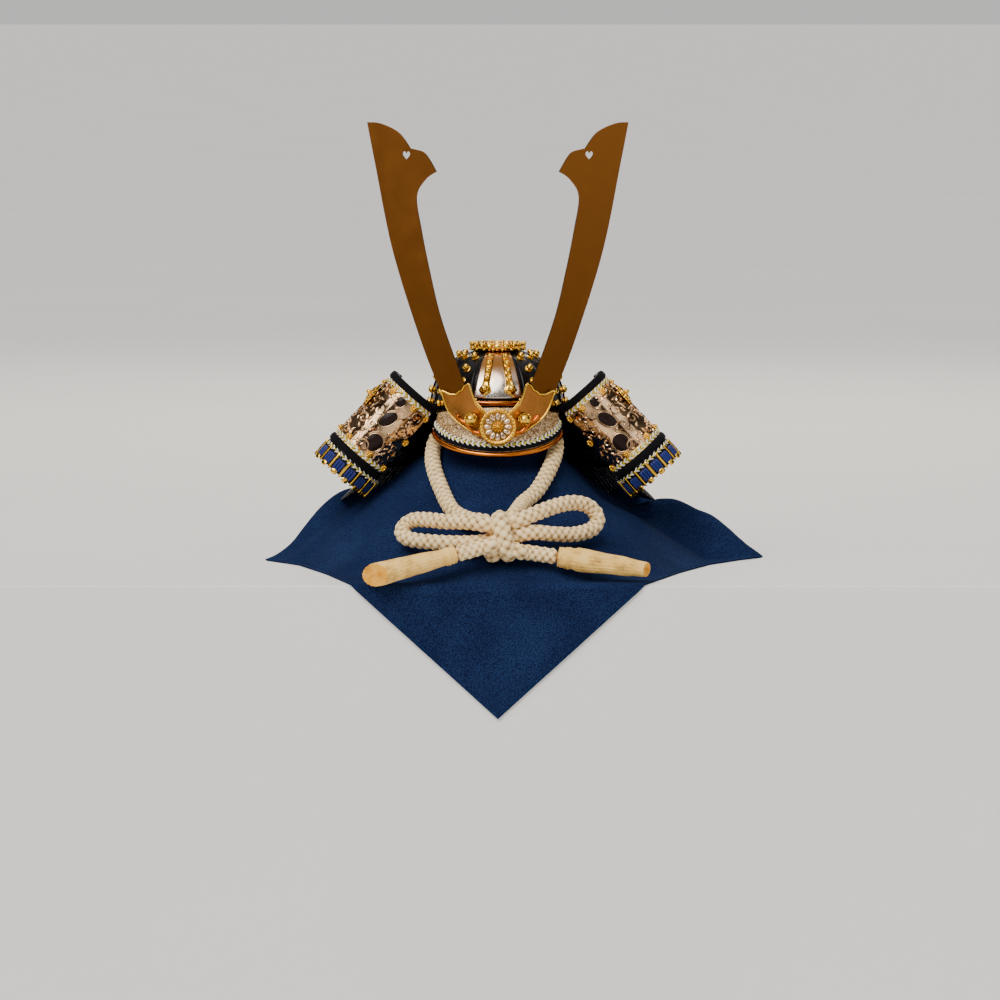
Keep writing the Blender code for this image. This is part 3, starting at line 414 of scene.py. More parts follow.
def roll_arm(turn):
    """The way out of the right turnback, turned from its inner edge through the front."""
    return Vector((0, -math.sin(turn), 0)) - roll_frame()[2] * math.cos(turn)


def roll_point(along, turn, extra=0):
    """A place on the right turnback's outer side: along its axis and turned round it."""
    edge, down, out = roll_frame()
    radius = roll_radius(along)
    centre = edge + out * (radius * math.cos(ROLL_START)) + Vector((0, radius * math.sin(ROLL_START), 0))
    return centre + down * along + roll_arm(turn) * (radius + extra)


# Modelling helpers


def deselect():
    bpy.ops.object.select_all(action="DESELECT")


def close_seams(obj, distance=0.01 * MM, outward=True):
    """Merge the piece's doubled vertices and turn its faces outwards."""
    deselect()
    obj.select_set(True)
    bpy.context.view_layer.objects.active = obj
    bpy.ops.object.mode_set(mode="EDIT")
    bpy.ops.mesh.select_all(action="SELECT")
    bpy.ops.mesh.remove_doubles(threshold=distance)
    if outward:
        bpy.ops.mesh.normals_make_consistent(inside=False)
    bpy.ops.object.mode_set(mode="OBJECT")
    return obj


def facing(obj, way):
    """Turn a sheet's faces so that, taken together, they look along way."""
    total = sum((face.normal * face.area for face in obj.data.polygons), Vector())
    if total.dot(Vector(way)) < 0:
        obj.data.flip_normals()
    return obj


def shaped_sheet(name, columns, rows, place, marks=None):
    """A flat grid whose vertices are each moved to place(u, v): u and v run from 0 to 1 across and down it.

    marks(u, v) gives the two numbers that braid and straw finishes follow: how high the yarn lies there, and
    where the place is across its strand.
    """
    deselect()
    bpy.ops.mesh.primitive_grid_add(x_subdivisions=columns, y_subdivisions=rows, size=1, calc_uvs=True)
    obj = bpy.context.object
    obj.name = name
    if marks:
        rise = obj.data.attributes.new("rise", "FLOAT", "POINT")
        thread = obj.data.attributes.new("thread", "FLOAT", "POINT")
    for index, vert in enumerate(obj.data.vertices):
        u = round((vert.co.x + 0.5) * columns) / columns
        v = round((vert.co.y + 0.5) * rows) / rows
        vert.co = place(u, v)
        if marks:
            rise.data[index].value, thread.data[index].value = marks(u, v)
    return obj


def open_sheet(name, columns, rows, place, way):
    """A shaped sheet that looks along way."""
    return facing(close_seams(shaped_sheet(name, columns, rows, place), outward=False), way)


def closed_form(name, columns, rows, place):
    return close_seams(shaped_sheet(name, columns, rows, place))


def lens(name, sides, rows, long, wide, high, power=1.0, taper=0.0):
    """A pointed oval about the origin, lying along X, wider towards +X by its taper."""

    def place(u, v):
        turn, lean = math.tau * u, math.pi * (v - 0.5)
        waist = math.cos(lean) ** power
        across = wide / 2 * waist * math.cos(turn) * (1 + taper * math.sin(lean))
        return Vector((long / 2 * math.sin(lean), across, high / 2 * waist * math.sin(turn)))

    return closed_form(name, sides, rows, place)


def squared(value, power):
    """A sine or cosine drawn out towards a square's corners."""
    return math.copysign(abs(value) ** power, value)


def on_circle(radius, turn, height=0.0):
    return Vector((radius * math.cos(turn), radius * math.sin(turn), height))


def turned(name, profile, sides=24):
    """A piece turned on a lathe from (radius, height) pairs, its axis along +Z."""
    steps = len(profile) - 1

    def place(u, v):
        radius, height = profile[round(v * steps)]
        return on_circle(radius, math.tau * u, height)

    return closed_form(name, sides, steps, place)


def bead(radius, segments=10):
    deselect()
    bpy.ops.mesh.primitive_uv_sphere_add(segments=segments, ring_count=6, radius=radius)
    return bpy.context.object


def swept(name, points, profile, sides=8, up=None, rounded=0, marks=None):
    """A rod through points; profile(turn, along) is its radius, and its ends close over a short way."""
    count = len(points) - 1
    tangents = []
    for k in range(count + 1):
        tangents.append((points[min(k + 1, count)] - points[max(k - 1, 0)]).normalized())
    arm = (up or tangents[0].orthogonal()).copy()
    arms, alongs, along = [], [], 0
    for k, tangent in enumerate(tangents):
        arm = (arm - tangent * arm.dot(tangent)).normalized()
        arms.append(arm.copy())
        if k:
            along += (points[k] - points[k - 1]).length
        alongs.append(along)

    def place(u, v):
        k = round(v * count)
        turn = math.tau * round(u * sides) / sides
        radius = profile(turn, alongs[k])
        end = min(alongs[k], along - alongs[k])
        if k in (0, count):
            radius = 0
        elif end < rounded:
            radius *= math.sqrt(1 - (1 - end / rounded) ** 2)
        side = tangents[k].cross(arms[k])
        return points[k] + (arms[k] * math.cos(turn) + side * math.sin(turn)) * radius

    def marked(u, v):
        return marks(math.tau * round(u * sides) / sides, alongs[round(v * count)])

    return close_seams(shaped_sheet(name, sides, count, place, marked if marks else None), 0.001 * MM)


def rod(name, points, radius, sides=8):
    """A plain round rod through points, with domed ends."""
    return swept(name, points, lambda turn, along: radius, sides, rounded=radius)


def seat_at(point, normal, up):
    """A matrix that sets a piece made about the origin, facing +Z, down at a point."""
    face = normal.normalized()
    across = up.cross(face).normalized()
    rise = face.cross(across)
    return Matrix(
        (
            (across.x, rise.x, face.x, point.x),
            (across.y, rise.y, face.y, point.y),
            (across.z, rise.z, face.z, point.z),
            (0, 0, 0, 1),
        )
    )


def mirrored(matrix=Matrix.Identity(4)):
    return Matrix.Scale(-1, 4, (1, 0, 0)) @ matrix


def joined(name, pieces):
    """Several pieces made one."""
    deselect()
    for piece in pieces:
        piece.select_set(True)
    bpy.context.view_layer.objects.active = pieces[0]
    if len(pieces) > 1:
        bpy.ops.object.join()
    pieces[0].name = name
    return pieces[0]


def copies(name, master, places):
    """The master copied to each place, each copy with its own mesh, joined into one piece."""
    twins = []
    for place in places:
        twin = master.copy()
        twin.data = master.data.copy()
        twin.data.transform(place)
        if place.determinant() < 0:
            twin.data.flip_normals()
        bpy.context.collection.objects.link(twin)
        twins.append(twin)
    bpy.data.objects.remove(master, do_unlink=True)
    return joined(name, twins)


FORWARD = Vector((0, -1, 0))
BOTH_SIDES = (Matrix.Identity(4), mirrored())


def both_sides(name, piece):
    """A piece made for the right side, and its mirror image."""
    return copies(name, piece, BOTH_SIDES)


def apply_modifier(obj, kind, **settings):
    """Add a modifier, set it and apply it."""
    deselect()
    obj.select_set(True)
    bpy.context.view_layer.objects.active = obj
    modifier = obj.modifiers.new(kind.title(), kind)
    for key, value in settings.items():
        setattr(modifier, key, value)
    bpy.ops.object.modifier_apply(modifier=modifier.name)
    return obj


def eased_edges(obj, width, angle):
    """Bevel the piece's sharp edges."""
    return apply_modifier(
        obj, "BEVEL", width=width, segments=2, limit_method="ANGLE", angle_limit=math.radians(angle)
    )


def walled(obj, thickness, offset=-1):
    """Give a sheet its thickness, behind its face at -1 or before it at 1."""
    return apply_modifier(obj, "SOLIDIFY", thickness=thickness, offset=offset, use_even_offset=True)


def finished(obj, finish_name, nodes=(), crease=35):
    """Shade the piece, give it its finish, and set it on the helmet's body."""
    dressed(obj, finish_name)
    obj.data.shade_smooth()
    obj.data.set_sharp_from_angle(angle=math.radians(crease))
    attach(obj, BODY)
    if nodes:
        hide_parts(*nodes)
    return obj


def dressed(obj, finish_name):
    obj.data.materials.clear()
    obj.data.materials.append(finish(finish_name))


def surface_seat(surface, u, v, lift=0, small=0.0005):
    """Where a small fitting sits on a surface(u, v), facing out of it, its top towards lower v."""
    point = surface(u, v)
    across = surface(u + small, v) - surface(u - small, v)
    down = surface(u, v + small) - surface(u, v - small)
    normal = down.cross(across).normalized()
    return seat_at(point + normal * lift, normal, -down)


# Finishes


def plug(node, **inputs):
    """Set a node's sockets by name, or join them to other nodes."""
    for key, value in inputs.items():
        socket = node.inputs[key.replace("_", " ")]
        if isinstance(value, bpy.types.NodeSocket):
            node.id_data.links.new(value, socket)
        else:
            socket.default_value = value
    return node


def add_node(tree, kind, settings=None, **inputs):
    node = tree.nodes.new("ShaderNode" + kind)
    for key, value in (settings or {}).items():
        setattr(node, key, value)
    return plug(node, **inputs)


def new_finish(name, roughness=0.5, metallic=0.0, **fixed):
    """A finish with its principled shader; fixed sets its plain sockets."""
    made = bpy.data.materials.new(name)
    made.use_nodes = True
    shader = made.node_tree.nodes["Principled BSDF"]
    plug(shader, Roughness=roughness, Metallic=metallic, **fixed)
    return made, made.node_tree, shader


def own_place(tree, scale=(1, 1, 1)):
    """The piece's own coordinates, scaled."""
    place = add_node(tree, "TexCoord").outputs["Object"]
    return add_node(tree, "Mapping", Vector=place, Scale=scale).outputs["Vector"]


def noise(tree, place, scale, detail=2.0, roughness=0.5, output="Fac"):
    node = add_node(tree, "TexNoise", Vector=place, Scale=scale, Detail=detail, Roughness=roughness)
    return node.outputs[output]


def cells(tree, place, scale, feature="F1", **more):
    """Distances in a pattern of cells."""
    node = add_node(tree, "TexVoronoi", {"feature": feature}, Vector=place, Scale=scale, **more)
    return node.outputs["Distance"]


def attribute(tree, name):
    return add_node(tree, "Attribute", {"attribute_name": name}).outputs["Fac"]


def height_of(tree, place):
    return add_node(tree, "SeparateXYZ", Vector=place).outputs["Z"]


def blended(tree, kind, share, first, second):
    """Two colours blended: MULTIPLY or ADD, by a share."""
    return add_node(tree, "MixRGB", {"blend_type": kind}, Fac=share, Color1=first, Color2=second).outputs[0]


def ramp(tree, value, stops):
    """A colour ramp: (place, colour) stops."""
    node = add_node(tree, "ValToRGB", Fac=value)
    elements = node.color_ramp.elements
    while len(elements) < len(stops):
        elements.new(0.5)
    for element, (place, colour) in zip(elements, stops):
        element.position = place
        element.color = (*colour, 1)
    return node.outputs["Color"]


def spread(tree, value, low, high, start=0.3, stop=0.7):
    """Map a value from start..stop to low..high; most of a noise lies from 0.3 to 0.7."""
    node = add_node(tree, "MapRange", Value=value, From_Min=start, From_Max=stop, To_Min=low, To_Max=high)
    return node.outputs["Result"]


def bump(tree, height, distance, strength=1.0, under=None):
    node = add_node(tree, "Bump", Height=height, Distance=distance, Strength=strength)
    if under is not None:
        plug(node, Normal=under)
    return node.outputs["Normal"]


def maths(tree, operation, first, second=0.0):
    node = add_node(tree, "Math", {"operation": operation})
    for socket, value in zip(node.inputs, (first, second)):
        if isinstance(value, bpy.types.NodeSocket):
            tree.links.new(value, socket)
        else:
            socket.default_value = value
    return node.outputs[0]


def added(tree, first, second, first_share=1.0, second_share=1.0):
    """Two values added, each times its share."""
    parts = [
        value if share == 1.0 else maths(tree, "MULTIPLY", value, share)
        for value, share in ((first, first_share), (second, second_share))
    ]
    return maths(tree, "ADD", *parts)


def darker(colour, share):
    return tuple(value * share for value in colour)


def toned(colour, other, share):
    return tuple(a + (b - a) * share for a, b in zip(colour, other))


def metal_finish(
    name, colour, roughness, scratch, grain=(1, 1, 1), wear_and_dark_reflection=0.25, spot=900, painted_reflection_fade=None, cast=0.35
):
    """Plated metal: cloudy tone and gloss, fine scratches along the grain and a soft cast unevenness.

    fade is (low z, high z, low tint, high tint): what the colour is multiplied by at each height, a painted
    reflection that darkens one end of the piece.
    """
    made, tree, shader = new_finish(name, roughness, 1.0)
    place = own_place(tree)
    cloud = noise(tree, place, 90, 3)
    # The darker cloud stop is wear, and a painted dark reflection where the wear share is high.
    tint = ramp(tree, cloud, [(0.3, darker(colour, 1 - wear_and_dark_reflection)), (0.62, colour), (0.8, darker(colour, 1.12))])
    # Painted reflection: a tint that changes with height darkens one end of the piece.
    if painted_reflection_fade:
        low, high, low_reflection_tint, high_reflection_tint = painted_reflection_fade
        share = spread(tree, height_of(tree, place), 0, 1, low, high)
        tint = blended(tree, "MULTIPLY", 1.0, tint, ramp(tree, share, [(0.0, low_reflection_tint), (1.0, high_reflection_tint)]))
    fine = noise(tree, own_place(tree, grain), spot, 2)
    gloss = added(tree, spread(tree, cloud, -0.05, 0.07), roughness)
    gloss = added(tree, gloss, spread(tree, fine, -0.05, 0.05))
    normal = bump(tree, noise(tree, place, 160, 1), 0.05 * MM, cast)
    normal = bump(tree, fine, 0.02 * MM, scratch, normal)
    plug(shader, Base_Color=tint, Roughness=gloss, Normal=normal)
    return made


def lacquer_finish(name, colour, roughness):
    """Black lacquer: deep, glossy, a little uneven, with faint dust in the gloss."""
    made, tree, shader = new_finish(name, Coat_Weight=0.04, Coat_Roughness=0.04, Specular_IOR_Level=0.12)
    place = own_place(tree)
    cloud = noise(tree, place, 140, 3)
    plug(
        shader,
        Base_Color=ramp(tree, cloud, [(0.3, colour), (0.75, darker(colour, 1.8))]),
        Roughness=spread(tree, noise(tree, place, 700, 4), roughness * 0.7, roughness * 1.6),
        Normal=bump(tree, cloud, 0.08 * MM, 0.25),
    )
    return made


def crepe_finish(name, colour, pebble):
    """Crepe cloth: a pebbled weave of twisted threads, soft at grazing angles, with a painted highlight on
    the pebbles' crowns and painted shade in the low edges between them.
    """
    made, tree, shader = new_finish(
        name,
        0.86,
        Sheen_Weight=0.015,
        Sheen_Roughness=0.45,
        Sheen_Tint=(0.35, 0.5, 0.9, 1),
        Specular_IOR_Level=0.02,
    )
    place = own_place(tree)
    grain = cells(tree, place, 1 / pebble, Randomness=0.85)
    tone = added(tree, grain, noise(tree, place, 2.3 / pebble, 3), 0.55, 0.5)
    dye_and_painted_pebble_shade = added(tree, tone, spread(tree, noise(tree, place, 28, 2), -0.06, 0.06))
    # Painted light: the pale stop is a painted highlight on the pebbles' raised crowns and the dark stop
    # painted shade between them; the slow noise is real dye unevenness.
    light = toned(colour, (0.04, 0.10, 0.26), 0.30)
    plug(
        shader,
        Base_Color=ramp(tree, dye_and_painted_pebble_shade, [(0.3, light), (0.52, colour), (0.85, darker(colour, 0.45))]),
        Normal=bump(tree, maths(tree, "SUBTRACT", 1.0, tone), pebble * 0.32, 0.75),
    )
    return made


def braid_finish(name, colour, painted_groove_shade, threads):
    """Braided yarn: painted shade darker down in the grooves and a painted highlight on the strands' crowns,
    each strand laid up of fine threads.
    """
    made, tree, shader = new_finish(
        name,
        0.72,
        Sheen_Weight=0.08,
        Sheen_Roughness=0.5,
        Subsurface_Weight=0.06,
        Subsurface_Scale=0.6 * MM,
        Subsurface_Radius=(1.0, 0.7, 0.4),
    )
    place = own_place(tree)
    tone = added(tree, attribute(tree, "rise"), spread(tree, noise(tree, place, 260, 2), -0.12, 0.12))
    # Painted light: the groove colour is painted shade between the strands and the crown colour a painted
    # highlight on their tops.
    crown = toned(colour, (1, 0.92, 0.78), 0.3)
    lines = maths(tree, "SINE", maths(tree, "MULTIPLY", attribute(tree, "thread"), math.tau * threads))
    fluff = noise(tree, place, 1500, 3)
    plug(
        shader,
        Base_Color=ramp(
            tree, tone, [(0.34, painted_groove_shade), (0.6, toned(painted_groove_shade, colour, 0.55)), (0.84, colour), (1.0, crown)]
        ),
        Normal=bump(tree, fluff, 0.08 * MM, 0.5, bump(tree, lines, 0.09 * MM, 0.4)),
    )
    return made


def straw_finish(name, colour, dark, sheen=0.08):
    """Straw-coloured thread wound and combed along the tassel."""
    made, tree, shader = new_finish(
        name, 0.66, Sheen_Weight=sheen, Sheen_Roughness=0.4, Specular_IOR_Level=0.3
    )
    across = maths(tree, "MULTIPLY", attribute(tree, "thread"), 95.0)
    along = maths(tree, "MULTIPLY", attribute(tree, "rise"), 5.0)
    streak = noise(tree, add_node(tree, "CombineXYZ", X=across, Y=along).outputs[0], 2.2, 4, 0.62)
    tone = added(tree, streak, spread(tree, noise(tree, own_place(tree), 120, 2), -0.12, 0.12))
    pale = toned(colour, (1, 0.88, 0.60), 0.3)
    plug(
        shader,
        Base_Color=ramp(tree, tone, [(0.3, dark), (0.5, colour), (0.78, pale)]),
        Normal=bump(tree, streak, 0.16 * MM, 0.6),
    )
    return made


def velvet_finish(name, colour):
    """Short velvet pile, dark, with a faint sheen."""
    sheen = (*toned(colour, (0.5, 0.5, 0.6), 0.3), 1)
    made, tree, shader = new_finish(
        name, 0.95, Sheen_Weight=0.12, Sheen_Roughness=0.35, Sheen_Tint=sheen, Specular_IOR_Level=0.1
    )
    pile = noise(tree, own_place(tree), 1400, 3)
    plug(
        shader,
        Base_Color=ramp(tree, pile, [(0.35, darker(colour, 0.5)), (0.7, colour)]),
        Normal=bump(tree, pile, 0.2 * MM, 0.7),
    )
    return made


def thread_finish(name, colour, ribs=1.0):
    """Silk thread: fine parallel threads across the piece, a little brighter on their crowns as a painted
    highlight and darker between them as painted shade.
    """
    made, tree, shader = new_finish(
        name, 0.5, Sheen_Weight=0.06, Sheen_Roughness=0.4, Specular_IOR_Level=0.3
    )
    place = own_place(tree)
    wave = add_node(tree, "TexWave", {"wave_type": "BANDS"}, Vector=place, Scale=170 * ribs, Distortion=1.2)
    tone = added(tree, wave.outputs["Fac"], noise(tree, place, 420, 3), 0.55, 0.5)
    # Painted light: the bright stop is a painted highlight on the threads' crowns, the dark stop painted
    # shade between them.
    stops = [(0.2, darker(colour, 0.45)), (0.55, colour), (0.9, darker(colour, 1.2))]
    plug(
        shader,
        Base_Color=ramp(tree, tone, stops),
        Normal=bump(tree, tone, 0.12 * MM, 0.6),
    )
    return made


def leather_finish(name, ground, light, dark):
    """Printed leather: a pale ground with a small all-over pattern of leaf shapes and a pebbled grain."""
    made, tree, shader = new_finish(name, 0.42, 0.25, Coat_Weight=0.25, Coat_Roughness=0.3)
    place = own_place(tree)
    bent = blended(tree, "ADD", 0.012, place, noise(tree, place, 220.0, output="Color"))
    leaf = cells(tree, bent, 330.0, "DISTANCE_TO_EDGE")
    print_tone = ramp(tree, leaf, [(0.03, dark), (0.12, ground), (0.4, light)])
    patches = ramp(tree, cells(tree, bent, 165.0), [(0.2, (1, 1, 1)), (0.75, (0.5, 0.42, 0.3))])
    grain = bump(tree, noise(tree, place, 1300, 2), 0.06 * MM, 0.5, bump(tree, leaf, 0.25 * MM, 0.5))
    plug(shader, Base_Color=blended(tree, "MULTIPLY", 0.6, print_tone, patches), Normal=grain)
    return made


def wood_finish(name, light, dark):
    """Plain wood with rings and fine fibres along it."""
    made, tree, shader = new_finish(name, 0.55)
    place = own_place(tree, (1, 1, 0.12))
    rings = add_node(
        tree, "TexWave", {"wave_type": "RINGS"}, Vector=place, Scale=34.0, Distortion=5.0, Detail=3
    )
    fibre = noise(tree, place, 600, 3)
    tone = added(tree, rings.outputs["Fac"], fibre, 0.6, 0.4)
    plug(
        shader,
        Base_Color=ramp(tree, tone, [(0.2, dark), (0.8, light)]),
        Normal=bump(tree, fibre, 0.1 * MM, 0.4),
    )
    return made


def plain_stage_finish(name, colour):
    """A plain matt floor, very slightly uneven."""
    made, tree, shader = new_finish(name, 0.75)
    cloud = noise(tree, own_place(tree), 3, 2)
    plug(shader, Base_Color=ramp(tree, cloud, [(0.3, darker(colour, 0.97)), (0.7, colour)]))
    return made


def metal_colour(name):
    return tuple(getattr(bpy.context.scene.kabuto_metal, name))


def soft_colour(name):
    return tuple(getattr(bpy.context.scene.kabuto_soft, name))


# Each finish: the material slot that it belongs to, and what makes it.
FINISHES = {
    "navy_crepe": (
        "navy_crepe",
        lambda name: crepe_finish(name, soft_colour("cloth"), bpy.context.scene.kabuto_soft.pebble),
    ),
    # The cord's dark second colour is painted shade in the braid's grooves.
    "cream_cord": (
        "cream_cord",
        lambda name: braid_finish(name, soft_colour("cord"), (0.23, 0.115, 0.033), 3),
    ),
    "straw_tassel": (
        "straw_tassel",
        lambda name: straw_finish(name, soft_colour("straw"), (0.27, 0.13, 0.03)),
    ),
    "straw_cut": (
        "straw_tassel",
        lambda name: straw_finish(name, (0.92, 0.42, 0.022), (0.50, 0.18, 0.008), 0.02),
    ),
    "black_velvet": ("black_velvet", lambda name: velvet_finish(name, (0.006, 0.0055, 0.007))),
    "black_lacquer": ("black_lacquer", lambda name: lacquer_finish(name, (0.0045, 0.0035, 0.004), 0.2)),
    "dark_enamel": ("black_lacquer", lambda name: lacquer_finish(name, (0.010, 0.0045, 0.0035), 0.3)),
    "bright_gold": ("bright_gold", lambda name: metal_finish(name, metal_colour("gold"), 0.2, 0.2)),
    "deep_gold": ("bright_gold", lambda name: metal_finish(name, (0.66, 0.34, 0.08), 0.24, 0.2, wear_and_dark_reflection=0.4)),
    "satin_gold": (
        "bright_gold",
        lambda name: metal_finish(name, metal_colour("satin"), 0.28, 0.3, wear_and_dark_reflection=0.12, cast=0.1),
    ),
    "red_gold": ("bright_gold", lambda name: metal_finish(name, (0.60, 0.15, 0.02), 0.2, 0.1, wear_and_dark_reflection=0.3)),
    "copper_gold": ("bright_gold", lambda name: metal_finish(name, (0.58, 0.17, 0.02), 0.15, 0.1, wear_and_dark_reflection=0.2)),
    # The horn blades are tinted darker towards their feet: a painted reflection of dark surroundings.
    "satin_bronze": (
        "satin_bronze",
        lambda name: metal_finish(
            name,
            metal_colour("bronze"),
            0.42,
            0.4,
            (2.4, 2.4, 0.05),
            wear_and_dark_reflection=0.08,
            spot=2600,
            painted_reflection_fade=(0.11, 0.27, (0.62, 0.6, 0.5), (1, 1, 1)),
            cast=0.0,
        ),
    ),
    "warm_silver": ("silver_plate", lambda name: metal_finish(name, (0.84, 0.62, 0.40), 0.2, 0.1, wear_and_dark_reflection=0.2)),
    # The front plate is tinted darker and browner at its top: a painted reflection.
    "front_silver": (
        "silver_plate",
        lambda name: metal_finish(
            name,
            metal_colour("silver"),
            0.2,
            0.15,
            wear_and_dark_reflection=0.08,
            painted_reflection_fade=(0.113, 0.129, (1, 1, 1), (0.4, 0.19, 0.05)),
            cast=0.1,
        ),
    ),
    # The high wear share paints large dark clouds on the turnback plates: painted dark reflections round
    # their highlight.
    "chased_silver": (
        "silver_plate",
        lambda name: metal_finish(name, (0.82, 0.53, 0.29), 0.09, 0.1, wear_and_dark_reflection=0.78, cast=0.12),
    ),
    "printed_leather": (
        "printed_leather",
        lambda name: leather_finish(name, (0.86, 0.54, 0.24), (1.0, 0.88, 0.60), (0.15, 0.055, 0.012)),
    ),
    "white_thread": ("cream_cord", lambda name: thread_finish(name, (0.88, 0.83, 0.72))),
    "green_thread": ("cream_cord", lambda name: thread_finish(name, (0.66, 0.54, 0.018))),
    "blue_lacing": ("blue_lacing", lambda name: thread_finish(name, (0.008, 0.016, 0.14), 1.4)),
    "stand_wood": ("stand_wood", lambda name: wood_finish(name, (0.62, 0.42, 0.22), (0.42, 0.26, 0.12))),
}


@cache
def finish(name):
    """A finish, made when a piece first asks for it."""
    return FINISHES[name][1](name)


# Sizes and colours that a user would change


class KabutoStudio(bpy.types.PropertyGroup):
    """Camera, light and floor."""

    lens: bpy.props.FloatProperty(
        name="Lens", description="Focal length in millimetres", default=193.68, min=20
    )
    tilt: bpy.props.FloatProperty(
        name="Tilt", description="How far the camera looks down", default=math.radians(5.161), subtype="ANGLE"
    )
    key_power: bpy.props.FloatProperty(
        name="Key light", description="Power of the near soft light", default=15, unit="POWER"
    )
    sun: bpy.props.FloatProperty(
        name="Sun", description="Strength of the wide soft light from above", default=2.7
    )
    world_strength: bpy.props.FloatProperty(
        name="Surrounding light", description="Strength of the pale room", default=1.0
    )
    floor: bpy.props.FloatVectorProperty(
        name="Floor", description="Colour of the plain floor", default=(0.8, 0.78, 0.75), subtype="COLOR"
    )


class KabutoSoft(bpy.types.PropertyGroup):
    """Cloth, cord and tassels."""

    cloth: bpy.props.FloatVectorProperty(
        name="Cloth",
        description="Colour of the crepe cloth",
        default=(0.0070, 0.0142, 0.049),
        subtype="COLOR",
    )
    pebble: bpy.props.FloatProperty(
        name="Pebble", description="Size of the crepe's pebbles", default=0.0008, unit="LENGTH"
    )
    cord: bpy.props.FloatVectorProperty(
        name="Cord", description="Colour of the braided cord", default=(0.97, 0.69, 0.32), subtype="COLOR"
    )
    straw: bpy.props.FloatVectorProperty(
        name="Tassel", description="Colour of the tassels", default=(0.92, 0.55, 0.12), subtype="COLOR"
    )
    braid_lead: bpy.props.FloatProperty(
        name="Braid lead",
        description="Way along the cord in which a strand goes once round it",
        default=0.020,
        unit="LENGTH",
    )
    braid_strands: bpy.props.IntProperty(
        name="Braid strands",
        description="Strands that run each way round the cord, an even number",
        default=4,
        min=2,
    )
    braid_crown: bpy.props.FloatProperty(
        name="Strand crown", description="How far each strand stands out", default=0.00125, unit="LENGTH"
    )
    braid_wave: bpy.props.FloatProperty(
        name="Strand wave", description="How far each strand rises and dips", default=0.00075, unit="LENGTH"
    )


class KabutoMetal(bpy.types.PropertyGroup):
    """Plated metal."""

    gold: bpy.props.FloatVectorProperty(
        name="Bright gold",
        description="Colour of studs, strips and crests",
        default=(0.95, 0.56, 0.065),
        subtype="COLOR",
    )
    satin: bpy.props.FloatVectorProperty(
        name="Satin gold",
        description="Colour of the horn holder",
        default=(0.36, 0.14, 0.03),
        subtype="COLOR",
    )
    bronze: bpy.props.FloatVectorProperty(
        name="Bronze", description="Colour of the horn blades", default=(0.205, 0.074, 0.016), subtype="COLOR"
    )
    silver: bpy.props.FloatVectorProperty(
        name="Silver", description="Colour of the front plate", default=(0.88, 0.78, 0.68), subtype="COLOR"
    )
    stud: bpy.props.FloatProperty(
        name="Stud", description="Diameter of the bowl's ball rivets", default=0.0042, unit="LENGTH"
    )


# Cords


def braid(turn, along):
    """How high the braid stands at a place on the cord, and where that is across the strand on top."""
    soft = bpy.context.scene.kabuto_soft
    around, ahead = turn / math.tau, along / soft.braid_lead
    u = soft.braid_strands * (around - ahead)
    v = soft.braid_strands * (around + ahead)
    across_u, across_v = u - math.floor(u) - 0.5, v - math.floor(v) - 0.5
    over = 1 if (math.floor(u) + math.floor(v)) % 2 == 0 else -1
    right = soft.braid_crown * math.sqrt(max(0, 1 - (1.94 * across_u) ** 2))
    right += over * soft.braid_wave * math.cos(math.pi * across_v)
    left = soft.braid_crown * math.sqrt(max(0, 1 - (1.94 * across_v) ** 2))
    left -= over * soft.braid_wave * math.cos(math.pi * across_u)
    if right > left:
        return right, across_u
    return left, across_v


def braided_cord(name, route, scale=1.0, sides=36, step=0.62 * MM):
    """A braided cord through a route's points, and the points of its middle line."""
    soft = bpy.context.scene.kabuto_soft
    high = soft.braid_crown + soft.braid_wave
    core = CORD_DIAMETER / 2 - high
    points = even_route(smooth_route(route, 12), step)

    def profile(turn, along):
        return core * scale + braid(turn, along)[0]

    def marks(turn, along):
        rise, across = braid(turn, along)
        return max(0, rise / high), across

    obj = swept(name, points, profile, sides, rounded=2.5 * MM, marks=marks)
    return obj, points


def tassel_sections(sections, share):
    """The tassel's width and slant at a share of its length."""
    for first, second in zip(sections, sections[1:]):
        if share <= second[0]:
            t = (share - first[0]) / (second[0] - first[0])
            t = t * t * (3 - 2 * t)
            return first[1] + (second[1] - first[1]) * t, first[2] + (second[2] - first[2]) * t
    return sections[-1][1:]


TASSEL_DIAMETER = 15.6 * MM
# Each tassel's sections: share of its length, share of its full diameter, and slant.
LEFT_TASSEL = [
    (0, 0.62, 0), (0.08, 0.70, 0), (0.14, 0.64, 0), (0.45, 0.78, 0), (0.74, 0.86, 0.2), (0.97, 0.93, 0.9),
    (1, 0.9, 0.9),
]
RIGHT_TASSEL = [
    (0, 0.76, 0), (0.13, 0.84, 0), (0.16, 0.8, 0), (0.22, 0.93, 0), (0.70, 0.76, 0), (0.95, 0.6, 0.4),
    (1, 0.56, 0.4),
]


